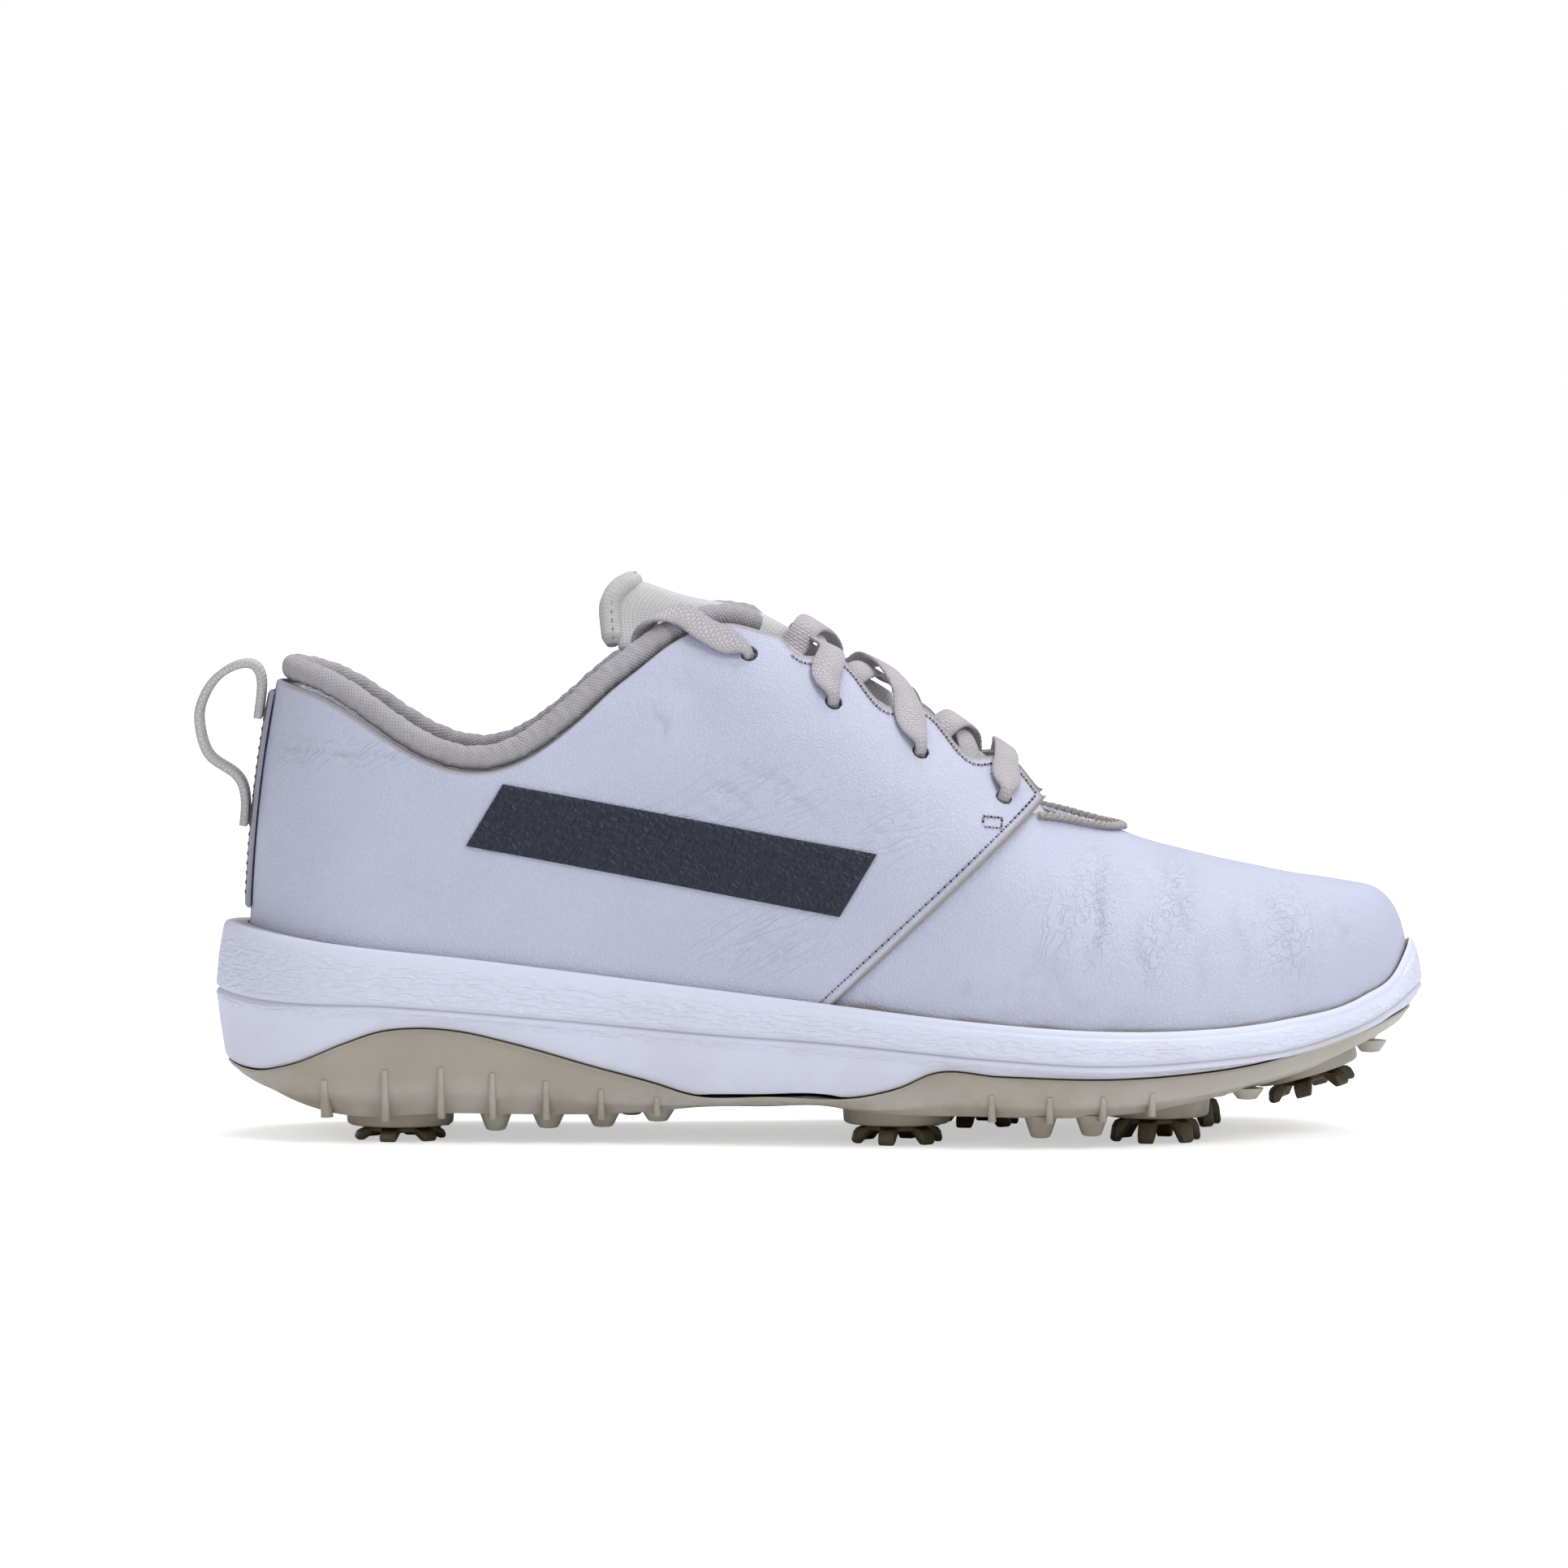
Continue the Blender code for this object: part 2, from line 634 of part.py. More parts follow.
def quarter_top(count_collar, count_lacing, drop):
    """Stations and heights along a quarter's top edge, drop below the roll and the scallops."""
    x = COLLAR[0][0] + (136 - COLLAR[0][0]) * np.linspace(0, 1, count_collar)**1.6
    slope = (collar_height(x + 1) - collar_height(x - 1)) / 2
    normal = np.sqrt(1 + slope**2)
    x1 = x + (ROLL_CLEARANCE + drop) * slope / normal
    x1[0] = HEEL_END  # the first column lies in the middle plane
    z1 = collar_height(x) - (ROLL_CLEARANCE + drop) / normal
    x2 = np.linspace(141, 205.5, count_lacing)
    z2 = lacing_height(x2) - drop
    return np.concatenate([x1, x2]), np.concatenate([z1, z2])


def side_sheet(side, top_x, top_z, foot_x, foot_z, rows, lift, straight):
    """Points between a foot line and a top line; straight is 0 for columns that follow the
    wall and 1 for columns that are straight in side view."""
    r0, phi0 = locate(side, foot_x, foot_z)
    r1, phi1 = locate(side, top_x, top_z)
    v = 1 - (1 - np.linspace(0, 1, rows)[:, None])**1.25
    r_wall, phi_wall = r0 + (r1 - r0) * v, phi0 + (phi1 - phi0) * v
    r_view, phi_view = locate(side, foot_x + (top_x - foot_x) * v, foot_z + (top_z - foot_z) * v)
    return upper(r_wall + (r_view - r_wall) * straight, phi_wall + (phi_view - phi_wall) * straight, lift)


def eyelet_cutter(side):
    """Four short cylinders that stand through the upper at the eyelets."""
    bm = bmesh.new()
    sides = 10
    for x, z in EYELETS:
        r, phi = locate(side, x, z)
        low, high = upper(r, phi, -2.6), upper(r, phi, 3.4)
        axis = (high - low) / np.linalg.norm(high - low)
        first = np.cross(axis, (1, 0, 0))
        first /= np.linalg.norm(first)
        second = np.cross(axis, first)
        rings = [
            [bm.verts.new(world(end + EYELET_RADIUS * (
                first * math.cos(2 * math.pi * k / sides) + second * math.sin(2 * math.pi * k / sides)
            ))) for k in range(sides)] for end in (low, high)
        ]
        for k in range(sides):
            n = (k + 1) % sides
            bm.faces.new([rings[0][k], rings[0][n], rings[1][n], rings[1][k]])
        bm.faces.new(rings[0])
        bm.faces.new(rings[1])
    return helper("eyelet_holes_outer" if side == OUTER else "eyelet_holes_inner", bm)


def build_quarter(side, cutter):
    top_x, top_z = quarter_top(12, 16, 0)
    top_x, top_z = np.append(top_x, SEAM_TOP[0]), np.append(top_z, SEAM_TOP[1])
    count = len(top_x)
    along = np.linspace(0, 1, count)
    foot_x = HEEL_END + (SEAM_FOOT[0] - HEEL_END) * along**1.5
    foot_z = bed_height(foot_x)
    points = side_sheet(side, top_x, top_z, foot_x, foot_z, 9, QUARTER_LIFT, smoothstep(0.3, 0.7, along))
    # The heel edges stop just short of each other in the shoe's middle plane.
    points[..., 1] = side * np.maximum(side * points[..., 1], 0.4)
    name = "quarter_outer" if side == OUTER else "quarter_inner"
    quarter = sheet(name, points, QUARTER_THICK, LEATHER, from_last)
    boolean(quarter, cutter, "DIFFERENCE")


def build_underlay(side, cutter):
    """The strip under the scallops, which the lace pulls on."""
    x = np.linspace(143.5, 191.5, 13)
    edge = 117.4 - 0.6 * (x - 151)
    v = np.linspace(0, 1, 4)[:, None]
    r, phi = locate(side, x + 0 * v, edge + 0.9 - 12.4 * (1 - v))
    name = "eyestay_outer" if side == OUTER else "eyestay_inner"
    strip = sheet(name, upper(r, phi, UNDERLAY_LIFT), UNDERLAY_THICK, LEATHER, from_last)
    boolean(strip, cutter, "DIFFERENCE")


VAMP_REAR = local_curve([(0, 143.5), (27, 169.5), (50, 192), (61, 203), (68, 210), (78, 219.5),
                         (90, 224)])


def toe_sheet(rear, low, high, rows, columns, lift):
    """Points from one side round the toe to the other, up to the ridge; rear gives the
    station where a row begins, from its angle in degrees."""
    phi = np.radians(np.linspace(low, high, rows))[:, None]
    q = np.linspace(1, 0, columns // 2 + 1)
    station = TOE_TIP - (TOE_TIP - rear(np.degrees(phi))) * q**2
    outer_r = ring_of(OUTER, station)
    inner_r = ring_of(INNER, station)[:, -2::-1]
    r = np.concatenate([outer_r, inner_r], axis=1)
    return upper(r, np.broadcast_to(phi, r.shape), lift)


def build_vamp():
    sheet("vamp", toe_sheet(VAMP_REAR, 0, 90, 12, 26, VAMP_LIFT), VAMP_THICK, LEATHER, from_last)


def build_vamp_lining():
    sheet("vamp_lining", toe_sheet(local_curve([(0, 214), (60, 214), (75, 222), (90, 226)]), 0, 90, 9, 20,
                                   LINING_LIFT), LINING_THICK, LINING, from_last)


def build_toe_puff():
    sheet("toe_puff", toe_sheet(local_curve([(0, 258), (90, 262)]), 16, 90, 7, 16, FILLER_LIFT),
          FILLER_THICK, STIFFENER, from_last)


def round_heel(x_top, z_top, foot_x, foot_z, rows, lift):
    """One sheet from the outer side round the heel to the inner side."""
    halves = [
        side_sheet(side, x_top, z_top, foot_x, foot_z, rows, lift, np.zeros(len(x_top)))
        for side in (OUTER, INNER)
    ]
    return np.concatenate([halves[0][:, :0:-1], halves[1]], axis=1)


def build_lining():
    """The lining of both quarters, in one piece round the heel."""
    x, z = quarter_top(12, 0, 0.6)
    more = np.linspace(143, 203, 5)
    x = np.concatenate([x[:-1], more])
    z = np.concatenate([z[:-1], 96.4 - 0.6 * (more - 151)])
    foot = HEEL_END + (208 - HEEL_END) * np.linspace(0, 1, len(x))**1.5
    sheet("quarter_lining", round_heel(x, z, foot, bed_height(foot), 7, LINING_LIFT),
          LINING_THICK, LINING, from_last)


def build_collar_foam():
    x, z = quarter_top(13, 0, 0.4)
    x, z = x[:12], z[:12]
    foot = np.maximum(x - 1, HEEL_END)
    sheet("collar_foam", round_heel(x, z, foot, z - 20, 4, HEEL_FILLER_LIFT), FILLER_THICK,
          ((0.8, 0.75, 0.55), 0.9), from_last)


def build_heel_counter():
    x, z = quarter_top(13, 0, 0.4)
    x, z = x[:8], z[:8] - 23
    foot = HEEL_END + (x[-1] - HEEL_END) * np.linspace(0, 1, len(x))**1.8
    sheet("heel_counter", round_heel(x, z, foot, bed_height(foot) + 3, 5, HEEL_FILLER_LIFT), FILLER_THICK,
          STIFFENER, from_last)


def build_collar_binding():
    """The padded roll from the front of one side round the heel to the other."""
    x = COLLAR[0][0] + (COLLAR[-1][0] - COLLAR[0][0]) * np.linspace(0, 1, 22)**1.5
    x[0] = HEEL_END
    halves = []
    for side in (OUTER, INNER):
        r, phi = locate(side, x, collar_height(x))
        halves.append(upper(r, phi, ROLL_LIFT))
    tube("collar_binding", np.concatenate([halves[0][:0:-1], halves[1]]), ROLL_RADIUS, FABRIC)


def build_backstay():
    """The strip down the heel seam, over both quarters."""
    width = np.linspace(-6.5, 6.5, 5)
    phi_top, phi_low = phi_at(HEEL_END, 110.0), phi_at(HEEL_END, 56.5)
    phi = np.linspace(phi_low, phi_top, 8)[:, None]
    r = width / 340
    points = upper(np.broadcast_to(-r, (8, 5)), np.broadcast_to(phi, (8, 5)), QUARTER_LIFT + 1.5)
    sheet("backstay", points, 1.0, ((0.5, 0.52, 0.58), 0.8), from_last)


LOOP_PATH = [(12.0, 103.5), (12.6, 108), (12.9, 112.5), (12.0, 116), (9.3, 117.9), (4.4, 117),
             (-0.8, 113), (-3.7, 107.5), (-4.3, 103), (-3.3, 97.4), (-0.8, 93), (3.4, 90.2),
             (6.4, 87), (7.2, 82), (6.8, 77)]
LOOP_WIDTH = 14.0


def build_heel_loop():
    """A webbing strip bent into a finger loop, both ends sewn to the backstay."""
    path = np.array(LOOP_PATH, float)
    t = np.arange(len(path))
    fine = np.linspace(0, len(path) - 1, 24)
    x = natural_spline(np.column_stack([t, path[:, 0]]))(fine)
    z = natural_spline(np.column_stack([t, path[:, 1]]))(fine)
    y = np.linspace(-LOOP_WIDTH / 2, LOOP_WIDTH / 2, 3)
    points = np.stack([
        np.broadcast_to(x[:, None], (24, 3)), np.broadcast_to(y, (24, 3)),
        np.broadcast_to(z[:, None], (24, 3)),
    ], axis=-1)
    middle = Vector(world([9, 0, 101]))
    sheet("heel_pull_loop", points, 1.6, FABRIC, lambda centre: centre - middle)


def tongue_lift(station, phi):
    """The tongue lies under the eyestays and swells between them; its top corners are
    drawn in, so that the lace's ends can pass beside them."""
    top = 1 - smoothstep(116, 136, station)
    crown = smoothstep(np.radians(76 - 16 * top), math.radians(87), phi)
    seated = 1 - smoothstep(198, 214, station)
    return -5.5 - 3.4 * top * (1 - crown) + (3.2 - 1.2 * top) * seated * crown


def build_tongue():
    along = np.linspace(0, 1, 17)[:, None]
    half = np.linspace(0, 1, 8)
    edge = np.radians(56 - 6 * np.sin(math.pi * along))
    phi = edge + (math.pi / 2 - edge) * half
    top = 104.2 + 5.3 * smoothstep(math.radians(66), math.radians(90), phi)
    station = top + (231 - top) * along
    halves = [
        upper(ring_of(side, station), phi, tongue_lift(station, phi)) for side in (OUTER, INNER)
    ]
    sheet("tongue", np.concatenate([halves[0], halves[1][:, -2::-1]], axis=1), TONGUE_THICK,
          ((0.7, 0.7, 0.76), 0.75), from_last)
    phi = np.radians(np.linspace(56, 90, 9))
    station = 101.0 + 5.3 * smoothstep(math.radians(66), math.radians(90), phi)
    ends = [
        upper(ring_of(side, station), phi, tongue_lift(station + 3, phi) - TONGUE_THICK / 2)
        for side in (OUTER, INNER)
    ]
    tube("tongue_binding", np.concatenate([ends[0], ends[1][-2::-1]]), 2.6, FABRIC)


def build_throat_cord():
    """The whipped cord that follows the vamp's edge round the tongue's base."""
    phi = np.linspace(60, 90, 9)
    station = VAMP_REAR(phi) + 2.6
    halves = [upper(ring_of(side, station), np.radians(phi), VAMP_LIFT + 1.25) for side in (OUTER, INNER)]
    tube("throat_cord", np.concatenate([halves[0], halves[1][-2::-1]]), 0.85, FABRIC, resolution=1)


def build_side_mark(side):
    """A plain dark bar with slanted ends, on the quarter."""
    along = np.linspace(0, 1, 12)
    v = np.linspace(0, 1, 3)[:, None]
    x = 64 + 92 * along + 9 * v
    z = 73.5 - 17 * along + 15 * v
    r, phi = locate(side, x, z)
    name = "side_mark_outer" if side == OUTER else "side_mark_inner"
    sheet(name, upper(r, phi, QUARTER_LIFT + 1.0), 0.7, ((0.03, 0.035, 0.055), 0.5), from_last)


# ---------------------------------------------------------------- lace

PINCHED = (3.2, 1.6)
FLAT = (LACE_WIDTH, LACE_THICK)
OVER, UNDER = 3.0, -3.0  # the lace's middle, outside the quarter and under the eyestay
LACE_STEP = 3.4
# Where an end of the lace lies inside the shoe: (station, height), this far under the last.
TUCK = [(80, 52), (88, 62), (95, 76), (101, 91), (105.5, 104), (108.5, 113)]
TUCK_LIFT = -6.9
# Where the lace lies round the padded roll: (station, angle from the outside over the top),
# with its middle this far outside the roll; then where it lands on the quarter.
ROLL_CROSSING = [(109, 165), (110.3, 125), (111.8, 90), (113.8, 52), (116.3, 12)]
ROLL_STAND_OFF = 1.55
LANDING = (122.5, 124.2)


def spot(side, station, phi, lift):
    """(point, outward normal) over the base surface."""
    r = ring_of(side, station)
    place = upper(r, phi, lift)
    normal = upper(r, phi, lift + 1) - place
    return place, normal


def beside(k, side, step, rise, lift):
    """A place next to eyelet k: step stations along and rise degrees up the wall."""
    station, height = EYELETS[k]
    return spot(side, station + step, float(phi_at(station, height)) + math.radians(rise), lift)[0]


class LaceRoute:
    """The lace's stops in order: place, way its flat face looks, width and thickness.
    The face turns over at each eyelet, so its sign is carried along."""

    def __init__(self):
        self.places, self.faces, self.sizes, self.sign = [], [], [], 1

    def stop(self, place, face, size=FLAT):
        self.places.append(place)
        self.faces.append(self.sign * face / np.linalg.norm(face))
        self.sizes.append(size)

    def on(self, side, station, degrees, lift):
        self.stop(*spot(side, station, math.radians(degrees), lift))

    def through(self, side, k, outside, inside, inward):
        """Through eyelet k; outside and inside are where the lace lies beside the hole."""
        station, height = EYELETS[k]
        middle, normal = spot(side, station, float(phi_at(station, height)), 0)
        ways = []
        for place in (outside, inside):
            way = place - middle
            way = way - normal * way.dot(normal)
            ways.append(way / np.linalg.norm(way))
        way_out, way_in = ways
        if not inward:
            self.sign = -self.sign
        steps = [
            (outside, normal, FLAT),
            (middle + normal * 3.1 + way_out * 1.1, normal - way_out * 0.8, PINCHED),
            (middle + normal * 0.9, -way_out, PINCHED),
            (middle - normal * 0.9, -way_in, PINCHED),
            (middle - normal * 3.0 + way_in * 1.0, -normal - way_in * 0.8, PINCHED),
            (inside, -normal, FLAT),
        ]
        for step in (steps if inward else steps[::-1]):
            self.stop(*step)
        if inward:
            self.sign = -self.sign

    def cross(self, start, end, centre, heights):
        """A strand over the tongue; start and end are (side, station)."""
        for (side, station), degrees, lift in zip(
                (start, start, (start[0], centre), end, end), (73, 81, 90, 81, 73), heights):
            share = (degrees - 73) / 17
            self.on(side, station + (centre - station) * share, degrees, lift)


def tuck(route, side, leaving):
    """From inside the shoe over the padded roll towards the top eyelet, or back."""
    stops = []
    for station, height in TUCK:
        place, normal = spot(side, station, float(phi_at(station, height)), TUCK_LIFT)
        stops.append((place, -normal))
    for at, degrees in ROLL_CROSSING:
        before, _ = spot(side, at - 1, float(phi_at(at - 1, collar_height(at - 1))), ROLL_LIFT)
        after, _ = spot(side, at + 1, float(phi_at(at + 1, collar_height(at + 1))), ROLL_LIFT)
        middle, normal = spot(side, at, float(phi_at(at, collar_height(at))), ROLL_LIFT)
        tangent = (after - before) / np.linalg.norm(after - before)
        normal = normal - tangent * normal.dot(tangent)
        normal /= np.linalg.norm(normal)
        up = np.cross(tangent, normal)
        up *= np.sign(up[2])
        turn = math.radians(degrees)
        way = normal * math.cos(turn) + up * math.sin(turn)
        stops.append((middle + way * (ROLL_RADIUS + ROLL_STAND_OFF), way))
    place, normal = spot(side, LANDING[0], float(phi_at(*LANDING)), OVER + 0.7)
    stops.append((place, normal))
    for place, face in (stops[::-1] if leaving else stops):
        route.stop(place, face)


def lace_route():
    """Straight bar at the lowest eyelets, crossings above, both ends tucked in at the collar."""
    route = LaceRoute()
    x = [station for station, _ in EYELETS]
    low_high = [(x[0] + 12.0, x[1] - 1.4), (x[1] + 4.6, x[2] - 4.8), (x[2] + 5.2, x[3] - 5.1)]
    rises = (UNDER, 1.7, 2.4, 2.9, OVER)
    sinks = (OVER, 0.1, 0.0, -0.6, UNDER)
    stays = (UNDER, 0.9, 1.6, 0.9, UNDER)
    stays_low = (UNDER, -1.2, -0.4, -1.2, UNDER)

    def hole(side, k, inward):
        outside = beside(k, side, *((-4.4, 1.0), (-2.2, 4.5), (-2.2, 4.5), (0, 5.0))[k], OVER)
        inside = beside(k, side, *((2.8, 4.0), (2.2, 4.5), (2.2, 4.5), (-2.2, 4.5))[k], UNDER)
        route.through(side, k, outside, inside, inward)

    tuck(route, OUTER, leaving=False)
    side = OUTER
    for k in (0, 1, 2):
        hole(side, k, inward=True)
        near, far = low_high[k]
        route.cross((side, near), (-side, far), (near + far) / 2, stays if k == 2 else rises)
        side = -side
    hole(side, 3, inward=False)
    for degrees, lift in ((72, OVER), (81, OVER), (90, 2.2)):
        route.on(side, x[3], degrees, lift)
    for degrees in (81, 72):
        route.on(-side, x[3], degrees, OVER)
    side = -side
    hole(side, 3, inward=True)
    for k in (2, 1, 0):
        near, far = low_high[k]
        route.cross((side, far), (-side, near), (near + far) / 2, stays_low if k == 2 else sinks)
        side = -side
        hole(side, k, inward=False)
    tuck(route, side, leaving=True)
    return route


def build_lace():
    """A flat ribbon carried along the route."""
    route = lace_route()
    places, faces, sizes = (np.array(part, float) for part in (route.places, route.faces, route.sizes))
    run = np.concatenate([[0], np.cumsum(np.linalg.norm(np.diff(places, axis=0), axis=1))])
    at = np.concatenate([
        np.linspace(a, b, max(2, round((b - a) / LACE_STEP) + 1))[:-1] for a, b in zip(run, run[1:])
    ] + [run[-1:]])
    path, face, size = (
        np.stack([line(np.column_stack([run, part[:, k]]))(at) for k in range(part.shape[1])], axis=-1)
        for part, line in ((places, local_curve), (faces, local_curve), (sizes, local_curve))
    )
    way = np.gradient(path, axis=0)
    way /= np.linalg.norm(way, axis=1, keepdims=True)
    across = np.cross(way, face)
    across /= np.linalg.norm(across, axis=1, keepdims=True)
    face = np.cross(across, way)
    half_width, half_thick = across * size[:, :1] / 2, face * size[:, 1:] / 2
    corners = np.stack([
        path + half_width + half_thick, path - half_width + half_thick,
        path - half_width - half_thick, path + half_width - half_thick,
    ], axis=1)
    bm = bmesh.new()
    loops = [[bm.verts.new(corner) for corner in world(section)] for section in corners]
    for low, high in zip(loops, loops[1:]):
        for k in range(4):
            n = (k + 1) % 4
            bm.faces.new([low[k], low[n], high[n], high[k]])
    bm.faces.new(loops[0])
    bm.faces.new(loops[-1])
    make_object("lace", bm, FABRIC)


def main():
    for obj in list(bpy.data.objects):
        bpy.data.objects.remove(obj)
    build_midsole()
    build_outsole()
    for name, x, y in CLEATS:
        centre, angle = cleat_frame(x, y)
        build_receptacle(name, centre, angle)
        build_cleat(name, centre, angle)
    footbed_plate("insole_board", 0.0, 1.3, 5.9, STIFFENER)
    footbed_plate("sockliner", 1.8, 5.2, 6.6, ((0.3, 0.32, 0.36), 0.9))
    build_vamp()
    build_vamp_lining()
    build_toe_puff()
    for side in (OUTER, INNER):
        cutter = eyelet_cutter(side)
        build_quarter(side, cutter)
        build_underlay(side, cutter)
        build_side_mark(side)
    build_lining()
    build_collar_foam()
    build_heel_counter()
    build_collar_binding()
    build_backstay()
    build_heel_loop()
    build_tongue()
    build_throat_cord()
    build_lace()


main()
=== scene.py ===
# %% [markdown]
# # A laced golf shoe, surface by surface
# The frame that is loaded here is the shoe's engineering model: every panel, cord and
# cleat at its real size, with the joints that move them. Its panels are coarse, because
# a motion test needs few triangles. This lesson puts fine leather, foam, rubber and
# cloth on the same places, so that nothing has to be fitted by eye.

# %% Load the frame
import math

import bpy
import numpy as np
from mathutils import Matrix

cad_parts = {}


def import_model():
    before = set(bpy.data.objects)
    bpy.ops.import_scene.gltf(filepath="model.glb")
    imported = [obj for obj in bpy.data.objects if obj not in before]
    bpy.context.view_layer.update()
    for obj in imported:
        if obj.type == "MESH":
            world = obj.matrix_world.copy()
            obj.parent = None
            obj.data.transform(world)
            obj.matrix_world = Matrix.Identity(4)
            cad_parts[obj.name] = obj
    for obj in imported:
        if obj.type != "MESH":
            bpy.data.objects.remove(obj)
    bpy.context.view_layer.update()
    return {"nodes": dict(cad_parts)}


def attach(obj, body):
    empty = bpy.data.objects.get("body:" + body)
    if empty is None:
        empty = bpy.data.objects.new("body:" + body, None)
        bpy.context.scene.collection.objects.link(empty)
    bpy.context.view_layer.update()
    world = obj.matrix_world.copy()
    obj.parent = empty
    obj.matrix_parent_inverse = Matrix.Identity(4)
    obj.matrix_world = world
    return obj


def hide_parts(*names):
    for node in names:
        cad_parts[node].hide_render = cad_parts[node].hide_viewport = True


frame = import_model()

# %% [markdown]
# ## Millimetres and stations
# A shoemaker measures along the shoe from the heel. So do the tables below: a station is
# the distance in millimetres from the rearmost point of the sole. `world` turns
# (station, width, height) into the frame's metres, whose origin is on the ground under
# the middle of the shoe.

# %% Units, sides and smooth lines
MM = 0.001
OUTER, INNER = -1, 1
SIDE_NAMES = {OUTER: "outer", INNER: "inner"}
MID_STATION, MID_WIDTH = 148.8, -1.9


def world(points):
    """Frame position = (station - middle, width - middle, height), in metres."""
    return (np.asarray(points, float) - (MID_STATION, MID_WIDTH, 0)) * MM


# %% [markdown]
# ## Camera and floor
# The shoe is shown from its outer side by a long lens held just above the sole, so that
# near and far edges keep nearly the same size. The floor is a plain pale sheet that
# curves nowhere; a white world and three large soft lights cast a soft shadow under the
# sole, and the floor's glow to the camera paints that shadow lighter, to a faint grey.

# %% Camera
FRAME_WIDTH = 0.3905  # how much of the shoe's plane the picture spans, in metres
CAMERA_FAR = 2.4
CAMERA_RISE = math.radians(3.2)
SENSOR = 36.0
camera_data = bpy.data.cameras.new("camera")
camera_data.sensor_width = SENSOR
camera_data.lens = SENSOR * CAMERA_FAR / FRAME_WIDTH
camera = bpy.data.objects.new("camera", camera_data)
bpy.context.scene.collection.objects.link(camera)
aim = np.array([-0.0067, 0.0, 0.0871])
away = np.array([0, -math.cos(CAMERA_RISE), math.sin(CAMERA_RISE)])
camera.location = aim + CAMERA_FAR * away
camera.rotation_euler = (math.pi / 2 - CAMERA_RISE, 0, 0)
bpy.context.scene.camera = camera
print("lens in mm:", round(camera_data.lens, 1))


# %% Shader helpers
def feed(tree, node, inputs):
    """Sets a node's inputs, each from a plain value or from the socket that feeds it."""
    for name, value in inputs.items():
        if isinstance(value, bpy.types.NodeSocket):
            tree.links.new(value, node.inputs[name])
        else:
            node.inputs[name].default_value = value
    return node


def add(tree, kind, inputs=None, **settings):
    """A shader node of this kind, with its inputs and its settings."""
    made = tree.nodes.new("ShaderNode" + kind)
    for name, value in settings.items():
        setattr(made, name, value)
    return feed(tree, made, inputs or {})


def blank_material(name):
    """(material, its tree, its principled shader), all new."""
    made = bpy.data.materials.new(name)
    made.use_nodes = True
    tree = made.node_tree
    return made, tree, tree.nodes["Principled BSDF"]


def shader_group(name, inputs, outputs):
    """(tree, input node, output node) of a new node group with named sockets."""
    tree = bpy.data.node_groups.new(name, "ShaderNodeTree")
    for label, kind, value in inputs:
        socket = tree.interface.new_socket(label, in_out="INPUT", socket_type="NodeSocket" + kind)
        if value is not None:
            socket.default_value = value
    for label, kind in outputs:
        tree.interface.new_socket(label, in_out="OUTPUT", socket_type="NodeSocket" + kind)
    return tree, tree.nodes.new("NodeGroupInput"), tree.nodes.new("NodeGroupOutput")


def place_group(tree, group, inputs):
    """The group as a node in a material, with its own values."""
    made = tree.nodes.new("ShaderNodeGroup")
    made.node_tree = group
    return feed(tree, made, inputs)


# %% Floor, world and lights
def stage_plane(name, half, z):
    """A square sheet, half its side to each way, that belongs to the room."""
    mesh = bpy.data.meshes.new(name)
    mesh.from_pydata([(-half, -half, z), (half, -half, z), (half, half, z), (-half, half, z)],
                     [], [(0, 1, 2, 3)])
    made = bpy.data.objects.new(name, mesh)
    bpy.context.scene.collection.objects.link(made)
    return made


floor = stage_plane("floor", 6.0, 0.0)
floor_material, floor_tree, floor_shader = blank_material("pale_floor")
floor_shader.inputs["Base Color"].default_value = (0.93, 0.93, 0.935, 1)
floor_shader.inputs["Roughness"].default_value = 0.9
floor_shader.inputs["Emission Color"].default_value = (1, 1, 1, 1)
# To the camera the floor glows, a little by the shoe and fully far off, so that it fades
# into the white room; by the shoe this glow paints the shoe's shadow lighter. The shoe
# isn't lit by this.
floor_place = add(floor_tree, "TexCoord").outputs["Object"]
far = add(floor_tree, "VectorMath", {0: floor_place}, operation="LENGTH")
glow = add(floor_tree, "MapRange", {"Value": far.outputs["Value"], "From Min": 0.2,
                                    "From Max": 0.7, "To Min": 0.5, "To Max": 1.0})
looked_at = add(floor_tree, "LightPath").outputs["Is Camera Ray"]
shown = add(floor_tree, "Math", {0: glow.outputs[0], 1: looked_at}, operation="MULTIPLY")
floor_tree.links.new(shown.outputs[0], floor_shader.inputs["Emission Strength"])
floor.data.materials.append(floor_material)

sky = bpy.data.worlds.new("white_room")
sky.use_nodes = True
sky_shade = sky.node_tree.nodes["Background"]
sky_shade.inputs["Color"].default_value = (1, 1, 1, 1)
ROOM_LIGHT = 0.42  # how bright the room is to the shoe; to the camera it is plain white
seen = add(sky.node_tree, "LightPath").outputs["Is Camera Ray"]
strength = add(sky.node_tree, "MapRange", {"Value": seen, "To Min": ROOM_LIGHT, "To Max": 1.0})
sky.node_tree.links.new(strength.outputs[0], sky_shade.inputs["Strength"])
bpy.context.scene.world = sky
# Plain display of colours, so that a white room is shown as white.
bpy.context.scene.view_settings.view_transform = "Standard"


SHOE_MIDDLE = np.array([0, 0, 0.06])


def soft_light(name, place, size, power):
    """A square area light at this place, turned towards the shoe."""
    data = bpy.data.lights.new(name, "AREA")
    data.size = size
    data.energy = power
    made = bpy.data.objects.new(name, data)
    bpy.context.scene.collection.objects.link(made)
    place = np.array(place, float)
    way = SHOE_MIDDLE - place
    made.location = place
    made.rotation_euler = (
        math.pi / 2 + math.atan2(way[2], math.hypot(way[0], way[1])), 0,
        math.atan2(way[1], way[0]) - math.pi / 2,
    )


